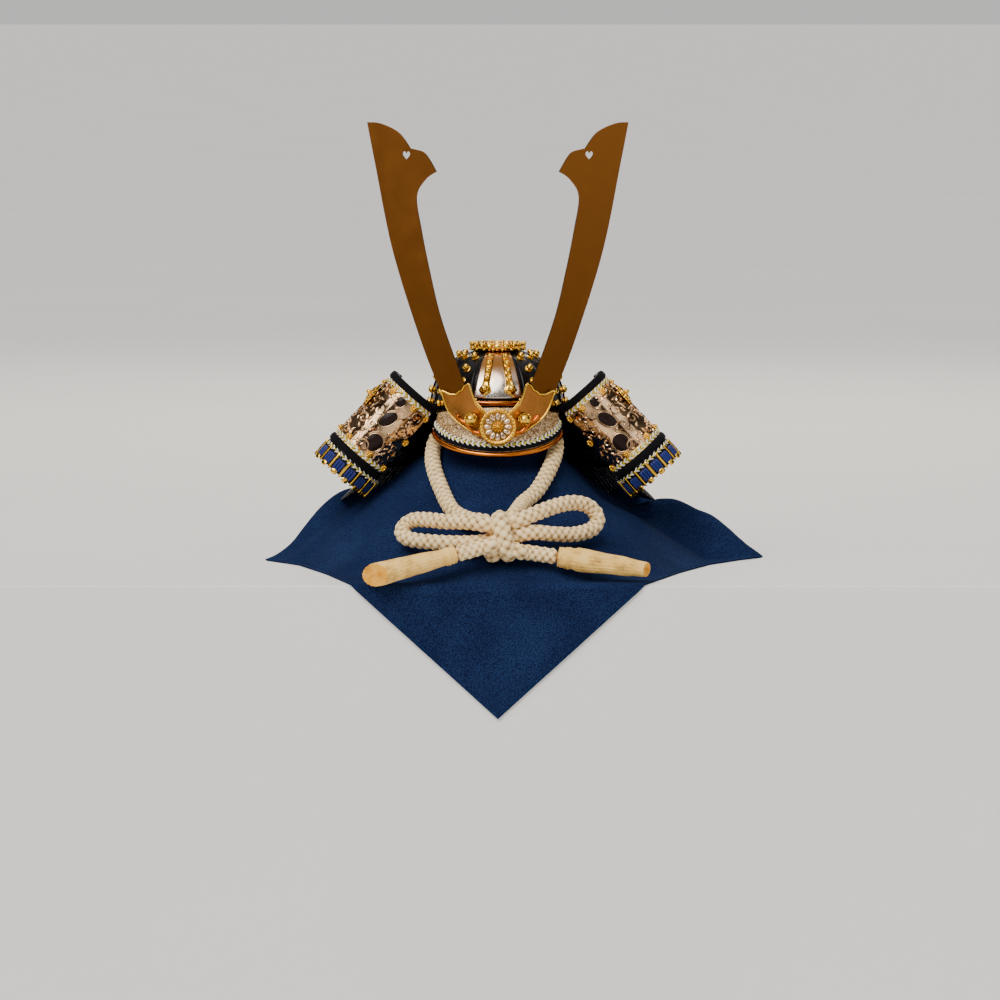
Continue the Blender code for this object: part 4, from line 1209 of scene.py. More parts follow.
def tassel(name, route, tip, sections):
    """A tassel: a bound head and a combed sleeve of thread, its end cut at a slant."""
    start = smooth_route(metres(route), 2)[-1]
    end = Vector(metres([tip])[0])
    begin = start + (end - start).normalized() * 2 * GAP
    axis = (end - begin).normalized()
    long = (end - begin).length
    across = axis.cross(Vector((0, 1, 0))).normalized()
    behind = across.cross(axis)
    sides, rows, cut_rows = 72, 60, 12

    def comb(turn, share):
        coarse = 0.16 * math.sin(19 * turn + 2.1 * math.sin(share * 5))
        fine = 0.10 * math.sin(31 * turn + 7 * share)
        return (coarse + fine) * MM * min(1, share * 8)

    def ring(turn, share, inward):
        width, slant = tassel_sections(sections, share)
        radius = (TASSEL_DIAMETER / 2 * width + comb(turn, share)) * inward
        bound = 0.45 * MM if share < 0.13 and (share * 100) % 2.6 < 1.3 else 0
        radius += bound * inward
        along = long * share + slant * radius * math.sin(turn)
        return begin + axis * along + (across * math.cos(turn) + behind * math.sin(turn)) * radius

    def sleeve(u, v):
        row = round(v * (rows + 4))
        if row < 4:
            return ring(math.tau * u, 0, row / 4)
        return ring(math.tau * u, (row - 4) / rows, 1)

    def cut(u, v):
        row = round(v * cut_rows)
        turn = math.tau * u
        bristle = 0.35 * MM * math.sin(23 * turn + row * 1.7) * math.sin(math.pi * row / cut_rows)
        return ring(turn, 1, row / cut_rows) + axis * (bristle - 0.1 * MM)

    body = shaped_sheet(name, sides, rows + 4, sleeve, lambda u, v: (v, u))
    close_seams(body, 0.001 * MM)
    face = shaped_sheet(name + "_cut", sides, cut_rows, cut, lambda u, v: (u * 3, v * 0.3))
    close_seams(face, 0.001 * MM)
    return body, face


class KABUTO_OT_cords(bpy.types.Operator):
    """Add the braided chin cord with its bow, knot and tassels."""

    bl_idname = "kabuto.add_cords"
    bl_label = "Chin cord and bow"

    def execute(self, context):
        wrap_route = [
            (0.5, -112, 33),
            (1.2, -117.5, 38.4),
            (1.6, -124.5, 38.2),
            (2.4, -129, 33.5),
            (4, -130.2, 27),
            (6, -128.4, 21),
            (6.4, -122.5, 18.6),
            (5.0, -114, 19),
        ]
        wrap, _ = braided_cord("knot_wrap", metres(wrap_route), 1.26)
        under_route = [(-1, -112, 22), (-3.4, -118, 17.6), (-2.6, -124.5, 18), (0.5, -126.5, 23)]
        under, _ = braided_cord("knot_under", metres(under_route), 1.02)
        heart_route = [(0, -113, 30), (0.5, -118, 31), (2, -121, 26), (1, -116, 22), (-1, -113, 26)]
        heart, _ = braided_cord("knot_heart", metres(heart_route), 1.25)
        knot = joined("knot_strands", [wrap, under, heart])
        finished(knot, "cream_cord", ["knot"], 80)
        chin, middle = braided_cord("chin_cord_braid", metres(CHIN_START + CHIN_ROUTE + CHIN_STOP))
        finished(chin, "cream_cord", ["chin_cord"], 80)
        tuple(middle[0])
        path_length(middle)
        [tuple(p) for p in middle]
        through_left = [(-1, -119.5, 26.5), (5, -123, 24)]
        through_right = [(5, -120.5, 28.5), (1, -125, 27)]
        left_route = LEFT_LOOP_START + LEFT_LOOP_ROUTE + through_left + RIGHT_TAIL_ROUTE
        right_route = RIGHT_LOOP_START + RIGHT_LOOP_ROUTE + through_right + LEFT_TAIL_ROUTE
        bows = (
            ("left", left_route, "right", RIGHT_TAIL_ROUTE, RIGHT_TASSEL_END, RIGHT_TASSEL),
            ("right", right_route, "left", LEFT_TAIL_ROUTE, LEFT_TASSEL_END, LEFT_TASSEL),
        )
        for loop, route, tail, tail_route, tip, sections in bows:
            cord, line = braided_cord(f"bow_cord_{loop}", metres(route), 0.95)
            finished(cord, "cream_cord", [f"bow_loop_{loop}", f"cord_tail_{tail}"], 80)
            body, face = tassel(f"tassel_{tail}_thread", tail_route, tip, sections)
            finished(body, "straw_tassel", [f"tassel_{tail}"], 60)
            finished(face, "straw_cut", (), 60)
            tuple(line[0])
            path_length(line)
            [tuple(p) for p in line]
        return {"FINISHED"}


def path_length(points):
    return sum((b - a).length for a, b in zip(points, points[1:]))


# Cloth


def cloth_directions(count):
    """Directions of the cloth's columns: its corners, and even steps between them."""
    front = -math.pi / 2
    turns = [0] + [(math.atan2(p.y, p.x) - front) % math.tau for p in HEM_CORNERS] + [math.tau]
    directions = []
    for start, stop in zip(turns, turns[1:]):
        steps = max(1, round(count * (stop - start) / math.tau))
        directions += [front + start + (stop - start) * k / steps for k in range(steps)]
    return directions


def cloth_line(direction, slope_rows, hang_rows):
    """The cloth's under side from the block's crown to its hem in one direction."""
    hem = hem_radius(direction)
    hang = hang_length(direction)
    profile = cloth_profile(direction)
    tip = 2 * MM
    bend = hem if hang > tip else hem - HEM_STRIP
    way = Vector((math.cos(direction), math.sin(direction)))
    line = []
    for k in range(slope_rows + 1):
        radius = bend * (k / slope_rows) ** 0.9
        ripple = 0.5 * MM * math.sin(5 * direction + radius / (11 * MM)) * min(1, radius / (70 * MM)) ** 2
        calm = max(0, 1 - radius / bend) ** 0.5
        height = eased(profile, radius) + fold_lift(direction, radius, hem) + abs(ripple) * calm
        line.append(Vector((way.x * radius, way.y * radius, height)))
    for k in range(1, hang_rows + 1):
        share = k / hang_rows
        if hang > tip:
            past = hang * share
            x = (hem + past) * way.x
            ripple = 0.6 + 0.4 * math.sin(x / (16 * MM) + 0.8)
            swell = 0.55 * MM * math.sin(math.pi * min(1, past / (60 * MM))) * ripple
            line.append(Vector((x, -LEDGE_FRONT - 2 * GAP - abs(swell), past * way.y)))
        else:
            radius = bend + (hem + hang - bend) * share
            height = profile[-1][1] + fold_lift(direction, radius, hem)
            line.append(Vector((way.x * radius, way.y * radius, height)))
    if hang > 4 * tip:
        for _ in range(2):
            softened = list(line)
            for k in range(slope_rows - 2, slope_rows + 3):
                softened[k] = line[k] * 0.5 + (line[k - 1] + line[k + 1]) * 0.25
            line = softened
    return line


class KABUTO_OT_cloth(bpy.types.Operator):
    """Add the crepe cloth draped over the stand and the ledge's edge."""

    bl_idname = "kabuto.add_cloth"
    bl_label = "Draped cloth"

    def execute(self, context):
        slope_rows, hang_rows = 84, 30
        directions = cloth_directions(320)
        lines = [cloth_line(direction, slope_rows, hang_rows) for direction in directions]
        count, total = len(lines), slope_rows + hang_rows

        def place(u, v):
            return lines[round(u * count) % count][round(v * total)]

        cloth = open_sheet("crepe_cloth", count, total, place, (0, 0, 1))
        walled(cloth, 0.9 * MM, 1)
        finished(cloth, "navy_crepe", ["draped_cloth"], 70)
        return {"FINISHED"}


# Stand


class KABUTO_OT_stand(bpy.types.Operator):
    """Finish the plain stand under the cloth."""

    bl_idname = "kabuto.finish_stand"
    bl_label = "Stand"

    def execute(self, context):
        for node in ("stand_base", "stand_post", "head_block"):
            dressed(bpy.data.objects[node], "stand_wood")
        return {"FINISHED"}


# Small fittings, modelled once each about the origin and facing +Z


STITCH_SWING = math.radians(32)


def ball_stud(diameter, segments=12):
    """A ball rivet on a small collar."""
    r = diameter / 2
    profile = [(0, -0.3 * r), (1.15 * r, -0.3 * r), (1.2 * r, 0.12 * r), (0.75 * r, 0.3 * r)]
    profile += [(r * math.cos(a), r * (0.95 + math.sin(a))) for a in (-0.75, -0.3, 0.15, 0.6, 1.05)]
    return turned("ball_stud", [*profile, (0, 1.95 * r)], segments)


def petal_disc(name, petals, inner, outer, low, high, dip=0.14, rings=5):
    """A round disc whose petals are each domed, with a scalloped edge."""
    per = 8

    def place(u, v):
        phase = (u * petals) % 1
        dome = math.sin(math.pi * phase)
        share = min(1, v * (rings + 1) / rings)
        edge = outer * (1 - dip + dip * math.sqrt(max(0, dome)))
        radius = inner + (edge - inner) * share
        height = low + (high - low) * dome**0.7 * math.sin(math.pi * min(0.96, 0.12 + 0.84 * share)) ** 0.6
        if v == 1:
            height = low - 0.3 * MM
        return on_circle(radius, math.tau * u, height)

    return closed_form(name, petals * per, rings + 1, place)


def flower_stud(diameter, petals=8):
    """A gold flower: domed petals round a ball."""
    r = diameter / 2
    disc = petal_disc("flower", petals, r * 0.12, r, 0.12 * r, 0.55 * r, 0.2, 4)
    heart = ball_stud(diameter * 0.36, 10)
    heart.data.transform(Matrix.Translation((0, 0, 0.25 * r)))
    return joined("flower_stud", [disc, heart])


def stitch(length, width, height):
    """A lens of thread, lying along X, a quarter of it sunk in."""
    thread = lens("stitch", 8, 6, length, width, 1.5 * height)
    thread.data.transform(Matrix.Translation((0, 0, 0.25 * height)))
    return thread


def braided_trim(name, line, width, pitch, sides=(Matrix.Identity(4),)):
    """A flat edge braid along (point, normal) pairs: white stitches meeting in arrows, green ones between."""
    white, green = [], []
    travelled, due = 0, pitch / 2
    for (start, start_normal), (stop, stop_normal) in zip(line, line[1:]):
        step = (stop - start).length
        along = (stop - start).normalized()
        while travelled + step >= due:
            t = (due - travelled) / step
            point, normal = start.lerp(stop, t), start_normal.lerp(stop_normal, t)
            across = normal.cross(along).normalized()
            for swing in (-STITCH_SWING, STITCH_SWING):
                hand = math.copysign(1, swing)
                up = across * math.cos(swing) - along * math.sin(swing)
                white.append(seat_at(point + across * width * 0.25 * hand, normal, up))
            green.append(seat_at(point + along * pitch * 0.5, normal, across))
            due += pitch
        travelled += step
    for colour, thread, places in (
        ("white", stitch(pitch * 0.95, width * 0.43, 0.65 * MM), white),
        ("green", stitch(pitch * 0.66, width * 0.46, 0.7 * MM), green),
    ):
        seats = [side @ place for side in sides for place in places]
        finished(copies(f"{name}_{colour}", thread, seats), f"{colour}_thread")


def spiral(turns, stop, hand, lead):
    """A flat spiral line about the origin, out to radius stop."""
    count = round(turns * 18)
    start = 0.5 * MM
    return [
        on_circle(start + (stop - start) * k / count, lead + hand * math.tau * turns * k / count).xy
        for k in range(count + 1)
    ]


def round_places(count, radius, height, shift=0.0):
    """Places evenly round the Z axis."""
    turns = [math.tau * (k + shift) / count for k in range(count)]
    return [Matrix.Translation(on_circle(radius, turn, height)) for turn in turns]


# Bowl


def bowl_row_angle(sector):
    return FRONT_SECTOR / 2 + RIB_STEP * (sector + 0.5)


class KABUTO_OT_bowl(bpy.types.Operator):
    """Add the ribbed lacquered bowl with its rows of ball rivets."""

    bl_idname = "kabuto.add_bowl"
    bl_label = "Ribbed bowl"

    def execute(self, context):
        around = []
        for k in range(RIB_COUNT):
            rib = FRONT_SECTOR / 2 + RIB_STEP * k
            half = RIB_HALF_TURN
            around += [(rib + half * share, rise) for share, rise in RIB_SECTION]
            gap = RIB_STEP if k < RIB_COUNT - 1 else FRONT_SECTOR
            inner = 6 if k < RIB_COUNT - 1 else 14
            around += [(rib + half + (gap - 2 * half) * j / inner, 0) for j in range(1, inner)]
        rows = 36
        count = len(around)

        def place(u, v):
            angle, rise = around[round(u * count) % count]
            share = math.sin(math.pi / 2 * (1 - v)) if v < 1 else 0
            z = BOWL_RIM_Z + (BOWL_HEIGHT - 0.01 * MM) * share
            r = bowl_radius(z)
            lift = rise * RIB_RISE * min(1, r / (0.5 * BOWL_RADIUS))
            return Vector(((r + lift) * math.sin(angle), -(r + lift) * math.cos(angle), z))

        bowl = closed_form("ribbed_bowl", count, rows, place)
        walled(bowl, 1.5 * MM, -1)
        finished(bowl, "black_lacquer", ["bowl"], 50)

        hem_points = [on_bowl(math.tau * k / 120, BOWL_RIM_Z + 0.8 * MM, 0.2 * MM) for k in range(121)]
        hem = rod("bowl_hem", hem_points, 0.8 * MM, 8)
        finished(hem, "bright_gold")

        size = context.scene.kabuto_metal.stud
        places = []
        for sector in range(RIB_COUNT - 1):
            for z in (132.8, 126.2, 119.0, 111.4, 104.2):
                places.append(surface_seat(down_bowl, bowl_row_angle(sector), -z * MM, 0.05 * MM))
        seats = petal_disc("seat", 8, 0.3 * MM, size * 0.6, 0.1 * MM, 0.3 * MM, 0.08, 3)
        ball = ball_stud(size, 12)
        rivets = copies("bowl_rivets", joined("rivet", [seats, ball]), places)
        finished(rivets, "bright_gold", (), 45)
        return {"FINISHED"}


def down_bowl(angle, depth):
    """The bowl's surface by a depth that grows downwards."""
    return on_bowl(angle, -depth)


class KABUTO_OT_crown(bpy.types.Operator):
    """Add the ring of petals on the crown."""

    bl_idname = "kabuto.add_crown_ring"
    bl_label = "Crown ring"

    def execute(self, context):
        top = BOWL_RIM_Z + BOWL_HEIGHT - 0.5 * MM
        core = [
            (8.0, 0.35), (8.0, 3.2), (9.0, 3.5), (10.4, 3.0), (12.6, 2.7), (14.4, 2.8),
            (15.6, 2.6), (15.9, 2.1), (15.6, 1.1), (14.2, 0.3), (8.0, 0.35),
        ]
        ring = turned("crown_core", [(r * MM, top + z * MM) for r, z in core], 72)
        petals = [
            Matrix.Rotation(math.tau * k / 18, 4, "Z") @ Matrix.Translation((0, -16.2 * MM, top + 2.5 * MM))
            for k in range(18)
        ]
        spots = round_places(18, 17.3 * MM, top + 0.9 * MM) + round_places(18, 17.3 * MM, top + 4.3 * MM)
        spots += round_places(18, 13.2 * MM, top + 2.9 * MM, 0.5)

        def lobe(u, v):
            turn, lean = math.tau * u, math.pi * (v - 0.5)
            wide = 2.35 * MM * squared(math.cos(turn), 0.6) * math.cos(lean)
            deep = 2.1 * MM * squared(math.sin(turn), 0.6) * math.cos(lean)
            return Vector((wide, deep, 2.6 * MM * math.sin(lean)))

        lobes = copies("crown_petals", closed_form("petal", 16, 8, lobe), petals)
        pearls = copies("crown_pearls", bead(1.15 * MM), spots)
        crown = joined("crown_flower", [ring, lobes, pearls])
        finished(crown, "bright_gold", ["crown_ring"], 40)
        return {"FINISHED"}


class KABUTO_OT_front(bpy.types.Operator):
    """Add the silver front plate, its two studded strips and the brow bar."""

    bl_idname = "kabuto.add_front_plate"
    bl_label = "Front plate, strips and brow bar"

    def execute(self, context):
        top_z, foot_z = BOWL_RIM_Z + 0.965 * BOWL_HEIGHT, BOWL_RIM_Z + 0.268 * BOWL_HEIGHT

        def plate_place(u, v):
            z = top_z + (foot_z - top_z) * v
            half = (6.4 + 8.8 * v**0.62) * MM
            angle = math.asin(half / bowl_radius(z, GAP))
            return on_bowl(angle * (2 * u - 1), z, GAP)

        plate = walled(open_sheet("silver_front", 28, 30, plate_place, FORWARD), 0.9 * MM, 1)
        eased_edges(plate, 0.22 * MM, 50)
        finished(plate, "front_silver", ["front_plate"], 50)

        strip_top, strip_foot = top_z - 0.5 * MM, BOWL_RIM_Z + 0.316 * BOWL_HEIGHT
        widths = [(0, 1.15), (0.64, 1.15), (0.74, 1.4), (0.80, 2.0), (0.87, 2.3), (0.93, 1.7), (1, 0.12)]

        def strip_middle(share):
            return (4.6 + 4.2 * share) * MM

        def strip_half(share):
            for (a, w), (b, x) in zip(widths, widths[1:]):
                if share <= b:
                    return 1.8 * MM * (w + (x - w) * (share - a) / (b - a))
            return 0.2 * MM

        def strip_place(x, share, lift):
            z = strip_top + (strip_foot - strip_top) * share
            r = bowl_radius(z, STRIP_LIFT - 1.2 * MM + lift)
            return on_bowl(math.asin(max(-1, min(1, x / r))), z, STRIP_LIFT - 1.2 * MM + lift)

        half = [(1, 0.1), (1, 0.75), (0.82, 1.05), (0.62, 0.75), (0.3, 0.62)]
        profile = [(-offset, lift) for offset, lift in half] + [(0, 0.6)] + half[::-1]

        def strip(u, v):
            offset, lift = profile[round(u * 10)]
            return strip_place(strip_middle(v) + strip_half(v) * offset, v, lift * MM)

        right = open_sheet("strip", 10, 44, strip, FORWARD)
        studs = []
        sizes = [(0.08, 2.8), (0.25, 3.1), (0.42, 3.3), (0.59, 3.4), (0.85, 5.2)]
        for share, size in sizes:
            spot = strip_place(strip_middle(share), share, 0.55 * MM)
            rise = strip_place(strip_middle(share), share - 0.02, 0.55 * MM) - spot
            aside = math.asin(spot.x / bowl_radius(spot.z))
            normal = rise.cross(Vector((math.cos(aside), math.sin(aside), 0))).normalized()
            if normal.y > 0:
                normal = -normal
            stud = ball_stud(size * MM, 12)
            stud.data.transform(seat_at(spot, normal, rise))
            studs.append(stud)
        strips = both_sides("front_strips", joined("strip_right", [right, *studs]))
        finished(strips, "bright_gold", ["front_strip_left", "front_strip_right"], 45)

        bar_z = BOWL_RIM_Z + 0.192 * BOWL_HEIGHT
        lift = RIB_RISE + 2 * GAP + 1.1 * MM
        points = [on_bowl(math.radians(27) * (k / 16 - 1), bar_z, lift) for k in range(33)]
        bar = swept("brow_band", points, bar_radius, 12, Vector((0, 0, 1)), 1 * MM)
        finished(bar, "copper_gold", ["brow_bar"], 60)
        return {"FINISHED"}


def bar_radius(turn, along):
    """The brow bar's rounded section, a little higher than deep."""
    return 1.2 * MM + 0.4 * MM * abs(math.cos(turn))


# Visor


class KABUTO_OT_visor(bpy.types.Operator):
    """Add the visor: printed leather, edge braid, black band and rolled rim."""

    bl_idname = "kabuto.add_visor"
    bl_label = "Visor"

    def execute(self, context):
        def place(u, v):
            return visor_point(2 * u - 1, v)

        sheet = open_sheet("visor_leather", 90, 20, place, (0, 0, 1))
        walled(sheet, VISOR_THICKNESS - 0.1 * MM)
        finished(sheet, "printed_leather", ["visor"], 40)

        def band(u, v):
            share = (2 * u - 1) * 0.995
            lift = (0.12 + 0.5 * math.sin(math.pi * min(1, 2 * v))) * MM
            return visor_place(share, (0.1 + 5.6 * v) * MM, lift)

        rim_band = open_sheet("visor_black_band", 120, 12, band, (0, 0, 1))
        finished(rim_band, "black_velvet")

        line = []
        for k in range(241):
            share = (k / 120 - 1) * 0.985
            line.append((visor_place(share, 4.2 * MM, 0.2 * MM), visor_normal(share)))
        braided_trim("visor_braid", line, 3.1 * MM, 3.6 * MM)

        points = []
        for k in range(-60, 61):
            share = k / 60
            edge = rim_point(share)
            away = (edge - visor_point(share, 0.75)).normalized()
            middle = edge - visor_normal(share) * VISOR_THICKNESS / 2
            points.append(middle + away * (1.55 * MM + GAP))
        rim = rod("visor_rolled_rim", points, 1.6 * MM, 16)
        finished(rim, "copper_gold", ["visor_rim"], 60)
        return {"FINISHED"}


# Horn holder, medallion and horns

# The holder's right half in shares of its half width and height: across and up at its outer and inner edges.
HOLDER_SECTIONS = [
    (0.00, 0.00, 0.00, 0.40),
    (0.30, 0.04, 0.14, 0.39),
    (0.51, 0.15, 0.23, 0.46),
    (0.77, 0.35, 0.33, 0.56),
    (0.90, 0.55, 0.40, 0.67),
]
HOLDER_MOUTH = [
    (1.00, 0.87), (0.84, 0.79), (0.74, 0.79), (0.68, 0.85), (0.63, 0.87), (0.58, 0.96), (0.51, 1.00),
]


def holder_shares(across, up):
    """(x, z) shares on the right half: across from the outer edge to the inner one, up from the middle."""
    rows = []
    for out_x, out_z, in_x, in_z in HOLDER_SECTIONS:
        rows.append((out_x + (in_x - out_x) * across, out_z + (in_z - out_z) * across))
    spot = across * (len(HOLDER_MOUTH) - 1)
    k = min(len(HOLDER_MOUTH) - 2, int(spot))
    (x0, z0), (x1, z1) = HOLDER_MOUTH[k], HOLDER_MOUTH[k + 1]
    rows.append((x0 + (x1 - x0) * (spot - k), z0 + (z1 - z0) * (spot - k)))
    where = up * (len(rows) - 1)
    i = min(len(rows) - 2, int(where))
    t = where - i
    line = [rows[max(0, i - 1)], rows[i], rows[i + 1], rows[min(len(rows) - 1, i + 2)]]
    if i == 0:
        line[0] = (-rows[1][0], rows[1][1])
    return curve_point(line, t)


def holder_place(across, up, lift=0):
    """A place on the holder's front: scooped between its raised edges."""
    x, z = holder_shares(across, up)
    x = max(0, x) * HOLDER_HALF_WIDTH
    scoop = 1.8 * MM * math.sin(math.pi * across) * min(1, 3 * up) * (0.4 + 0.6 * up)
    y = holder_back(x) + scoop - lift
    return Vector((x, y, HOLDER_FOOT_Z + z * HOLDER_HEIGHT))


class KABUTO_OT_holder(bpy.types.Operator):
    """Add the horn holder with its beaded edges, rivets and medallion."""

    bl_idname = "kabuto.add_horn_holder"
    bl_label = "Horn holder and medallion"

    def execute(self, context):
        def place(u, v):
            side = 1 if v >= 0.5 else -1
            spot = holder_place(u, abs(2 * v - 1))
            return Vector((side * spot.x, spot.y, spot.z))

        shell = walled(open_sheet("holder_shell", 24, 72, place, FORWARD), 1.3 * MM)
        eased_edges(shell, 0.25 * MM, 55)
        finished(shell, "satin_gold", ["horn_holder"], 50)

        outer = [holder_place(0.0, 0.06 + 0.94 * k / 50, 0.3 * MM) for k in range(51)]
        inner = [holder_place(1.0, 0.06 + 0.94 * k / 50, 0.3 * MM) for k in range(51)]
        mouth = [holder_place(k / 40, 1.0, 0.3 * MM) for k in range(41)]
        lines = [rod("edge", line, 0.6 * MM, 10) for line in (outer, inner, mouth)]
        edges = both_sides("holder_edges", joined("holder_edge", lines))
        finished(edges, "bright_gold", (), 60)

        spots = []
        for k in range(16):
            spot = holder_place(1.0, 0.16 + 0.66 * k / 15, 0.9 * MM)
            spots.append(Matrix.Translation(spot + Vector((-0.9 * MM, 0, 0.5 * MM))))
        row = copies("holder_beads", bead(0.8 * MM), spots + [mirrored(place) for place in spots])
        finished(row, "bright_gold", (), 60)

        wave = []
        for k in range(61):
            t = k / 60
            x = (9.5 + 16.5 * t) * MM
            z = HOLDER_FOOT_Z + (1.2 + 13.2 * t**1.2 + 0.7 * math.sin(t * 13)) * MM
            wave.append(Vector((x, holder_back(x) - 1.2 * MM, z)))
        trim = both_sides("holder_wave", rod("wave", wave, 1.3 * MM, 10))
        finished(trim, "red_gold", (), 60)

        places = []
        for side in (-1, 1):
            foot = Vector((side * 17 * MM, holder_back(17 * MM) - GAP, 96.4 * MM))
            places.append(seat_at(foot, FORWARD, Vector((0, 0, 1))))
        r = 4.1 * MM
        collar = petal_disc("collar", 12, 0.5 * MM, r * 1.02, 1.0 * MM, 1.5 * MM, 0.1, 3)
        cap = r * 0.94
        bends = (-0.7, -0.35, 0, 0.35, 0.7, 1.05, 1.35)
        section = [(0, 0.5 * MM), (r * 0.6, 0.5 * MM), (r * 0.8, 1.2 * MM)]
        section += [(cap * math.cos(bend), 3.9 * MM + cap * math.sin(bend)) for bend in bends]
        dome = turned("dome", [*section, (0, 3.9 * MM + cap)])
        rivets = copies("holder_domes", joined("rivet", [collar, dome]), places)
        finished(rivets, "bright_gold", ["holder_rivet_left", "holder_rivet_right"], 40)
        add_medallion()
        return {"FINISHED"}


def add_medallion():
    """The round medallion: beaded rim, dark ring, silver petals with beads, and a gold flower."""
    tilt = math.radians(8)
    lean = 7.3 * MM * math.tan(tilt)
    back = Vector((0, HOLDER_Y - GAP - lean, 91.8 * MM))
    seat = seat_at(back, Vector((0, -math.cos(tilt), math.sin(tilt))), Vector((0, 0, 1)))
    half = 11.7 * MM
    pan = [
        (0, 0), (0.94, 0), (1.0, 1.0), (1.0, 2.1), (0.96, 2.75), (0.88, 2.95), (0.81, 2.6), (0.78, 1.7),
        (0.5, 1.5), (0, 1.5),
    ]
    body = turned("medallion_pan", [(r * half, z * MM) for r, z in pan], 64)
    rim = copies("medallion_beads", bead(1.0 * MM), round_places(30, 0.9 * half, 2.75 * MM))
    heart = flower_stud(6.8 * MM, 10)
    heart.data.transform(Matrix.Translation((0, 0, 1.9 * MM)))
    gold = joined("medallion_gold", [body, rim, heart])
    gold.data.transform(seat)
    finished(gold, "bright_gold", ["medallion"], 45)

    petals = []
    spots = []
    for k in range(12):
        spin = Matrix.Rotation(math.tau * k / 12, 4, "Z")
        petals.append(seat @ spin @ Matrix.Translation((6.4 * MM, 0, 1.8 * MM)))
        spots.append(seat @ spin @ Matrix.Translation((8.2 * MM, 0, 2.3 * MM)))
    petal = lens("leaf", 12, 8, 4.6 * MM, 2.9 * MM, 1.6 * MM, 0.8, 0.35)
    leaves = copies("medallion_leaves", petal, petals)
    dots = copies("medallion_dots", bead(0.85 * MM), spots)
    silver = joined("medallion_petals", [leaves, dots])
    finished(silver, "warm_silver", (), 45)
    section = [(0.3, 1.45), (0.3, 1.62), (0.77, 1.75), (0.78, 1.6)]
    ring = turned("dark_ring", [(r * half, z * MM) for r, z in section], 64)
    ring.data.transform(seat)
    finished(ring, "deep_gold")


# The right horn's outline in shares of its reach and height, and whether each point is a corner.
HORN_OUTLINE = [
    (-0.02, -0.045, True),
    (0.141, 0.042, False),
    (0.386, 0.233, False),
    (0.700, 0.541, False),
    (0.899, 0.842, False),
    (0.998, 0.999, True),
    (0.840, 0.995, False),
    (0.631, 0.964, False),
    (0.491, 0.907, True),
    (0.427, 0.903, False),
    (0.316, 0.889, False),
    (0.188, 0.825, True),
    (0.315, 0.797, False),
    (0.421, 0.735, False),
    (0.363, 0.613, False),
    (0.269, 0.469, False),
    (0.130, 0.294, False),
    (-0.138, 0.060, False),
    (-0.19, -0.012, True),
]


def horn_outline(steps):
    """The outline's shares, with the stretches between its corners rounded."""
    count = len(HORN_OUTLINE)
    out = []
    for i in range(count):
        a, b = HORN_OUTLINE[i], HORN_OUTLINE[(i + 1) % count]
        before, after = HORN_OUTLINE[i - 1], HORN_OUTLINE[(i + 2) % count]
        line = (a if a[2] else before, a, b, b if b[2] else after)
        for k in range(1 if a[2] and b[2] else steps):
            t = k / steps
            out.append(curve_point([point[:2] for point in line], t))
    return out


def heart_outline(steps):
    """The heart-shaped hole, point down, in shares of the horn."""
    out = []
    for k in range(steps):
        t = math.tau * k / steps
        x = 2.5 * MM * math.sin(t) ** 3
        z = 5.7 / 29 * MM * (13 * math.cos(t) - 5 * math.cos(2 * t) - 2 * math.cos(3 * t) - math.cos(4 * t))
        out.append((0.540 + x / HORN_REACH, 0.883 + z / HORN_HEIGHT))
    return out


def ring_of_edges(name, points):
    """A circle whose vertices are moved to the points."""
    deselect()
    bpy.ops.mesh.primitive_circle_add(vertices=len(points), radius=1)
    obj = bpy.context.object
    obj.name = name
    for vert, point in zip(obj.data.vertices, points):
        vert.co = point
    return obj


class KABUTO_OT_horns(bpy.types.Operator):
    """Add the two tall horn blades, each with its heart-shaped hole."""

    bl_idname = "kabuto.add_horns"
    bl_label = "Horns"

    def execute(self, context):
        outer = ring_of_edges("blade", [horn_place(out, up) for out, up in horn_outline(7)])
        hole = ring_of_edges("hole", [horn_place(out, up) for out, up in heart_outline(36)])
        blade = joined("horn_blade", [outer, hole])
        deselect()
        blade.select_set(True)
        bpy.context.view_layer.objects.active = blade
        bpy.ops.object.mode_set(mode="EDIT")
        bpy.ops.mesh.select_all(action="SELECT")
        bpy.ops.mesh.fill(use_beauty=True)
        bpy.ops.object.mode_set(mode="OBJECT")
        for face in blade.data.polygons:
            if face.normal.y > 0:
                face.flip()
        eased_edges(walled(blade, HORN_THICKNESS), 0.25 * MM, 55)
        pair = both_sides("horn_blades", blade)
        finished(pair, "satin_bronze", ["horn_left", "horn_right"], 15)
        return {"FINISHED"}


# Neck guard


def lacing_block(width, height, cords=3):
    """A block of lacing: cords side by side, drawn in where they pass through the scales."""
    per = 6

    def place(u, v):
        phase = (u * cords) % 1
        crown = math.sqrt(max(0, 1 - (2 * phase - 1) ** 2)) if 0 < u < 1 else 0
        ends = max(0, 1 - (2 * v - 1) ** 6) ** 0.5
        across = (u - 0.5) * width * (0.72 + 0.28 * ends)
        lift = (0.25 + 0.75 * crown) * 1.0 * MM * ends
        return Vector((across, height * (0.5 - v), lift))

    return open_sheet("lacing", cords * per, 10, place, (0, 0, 1))


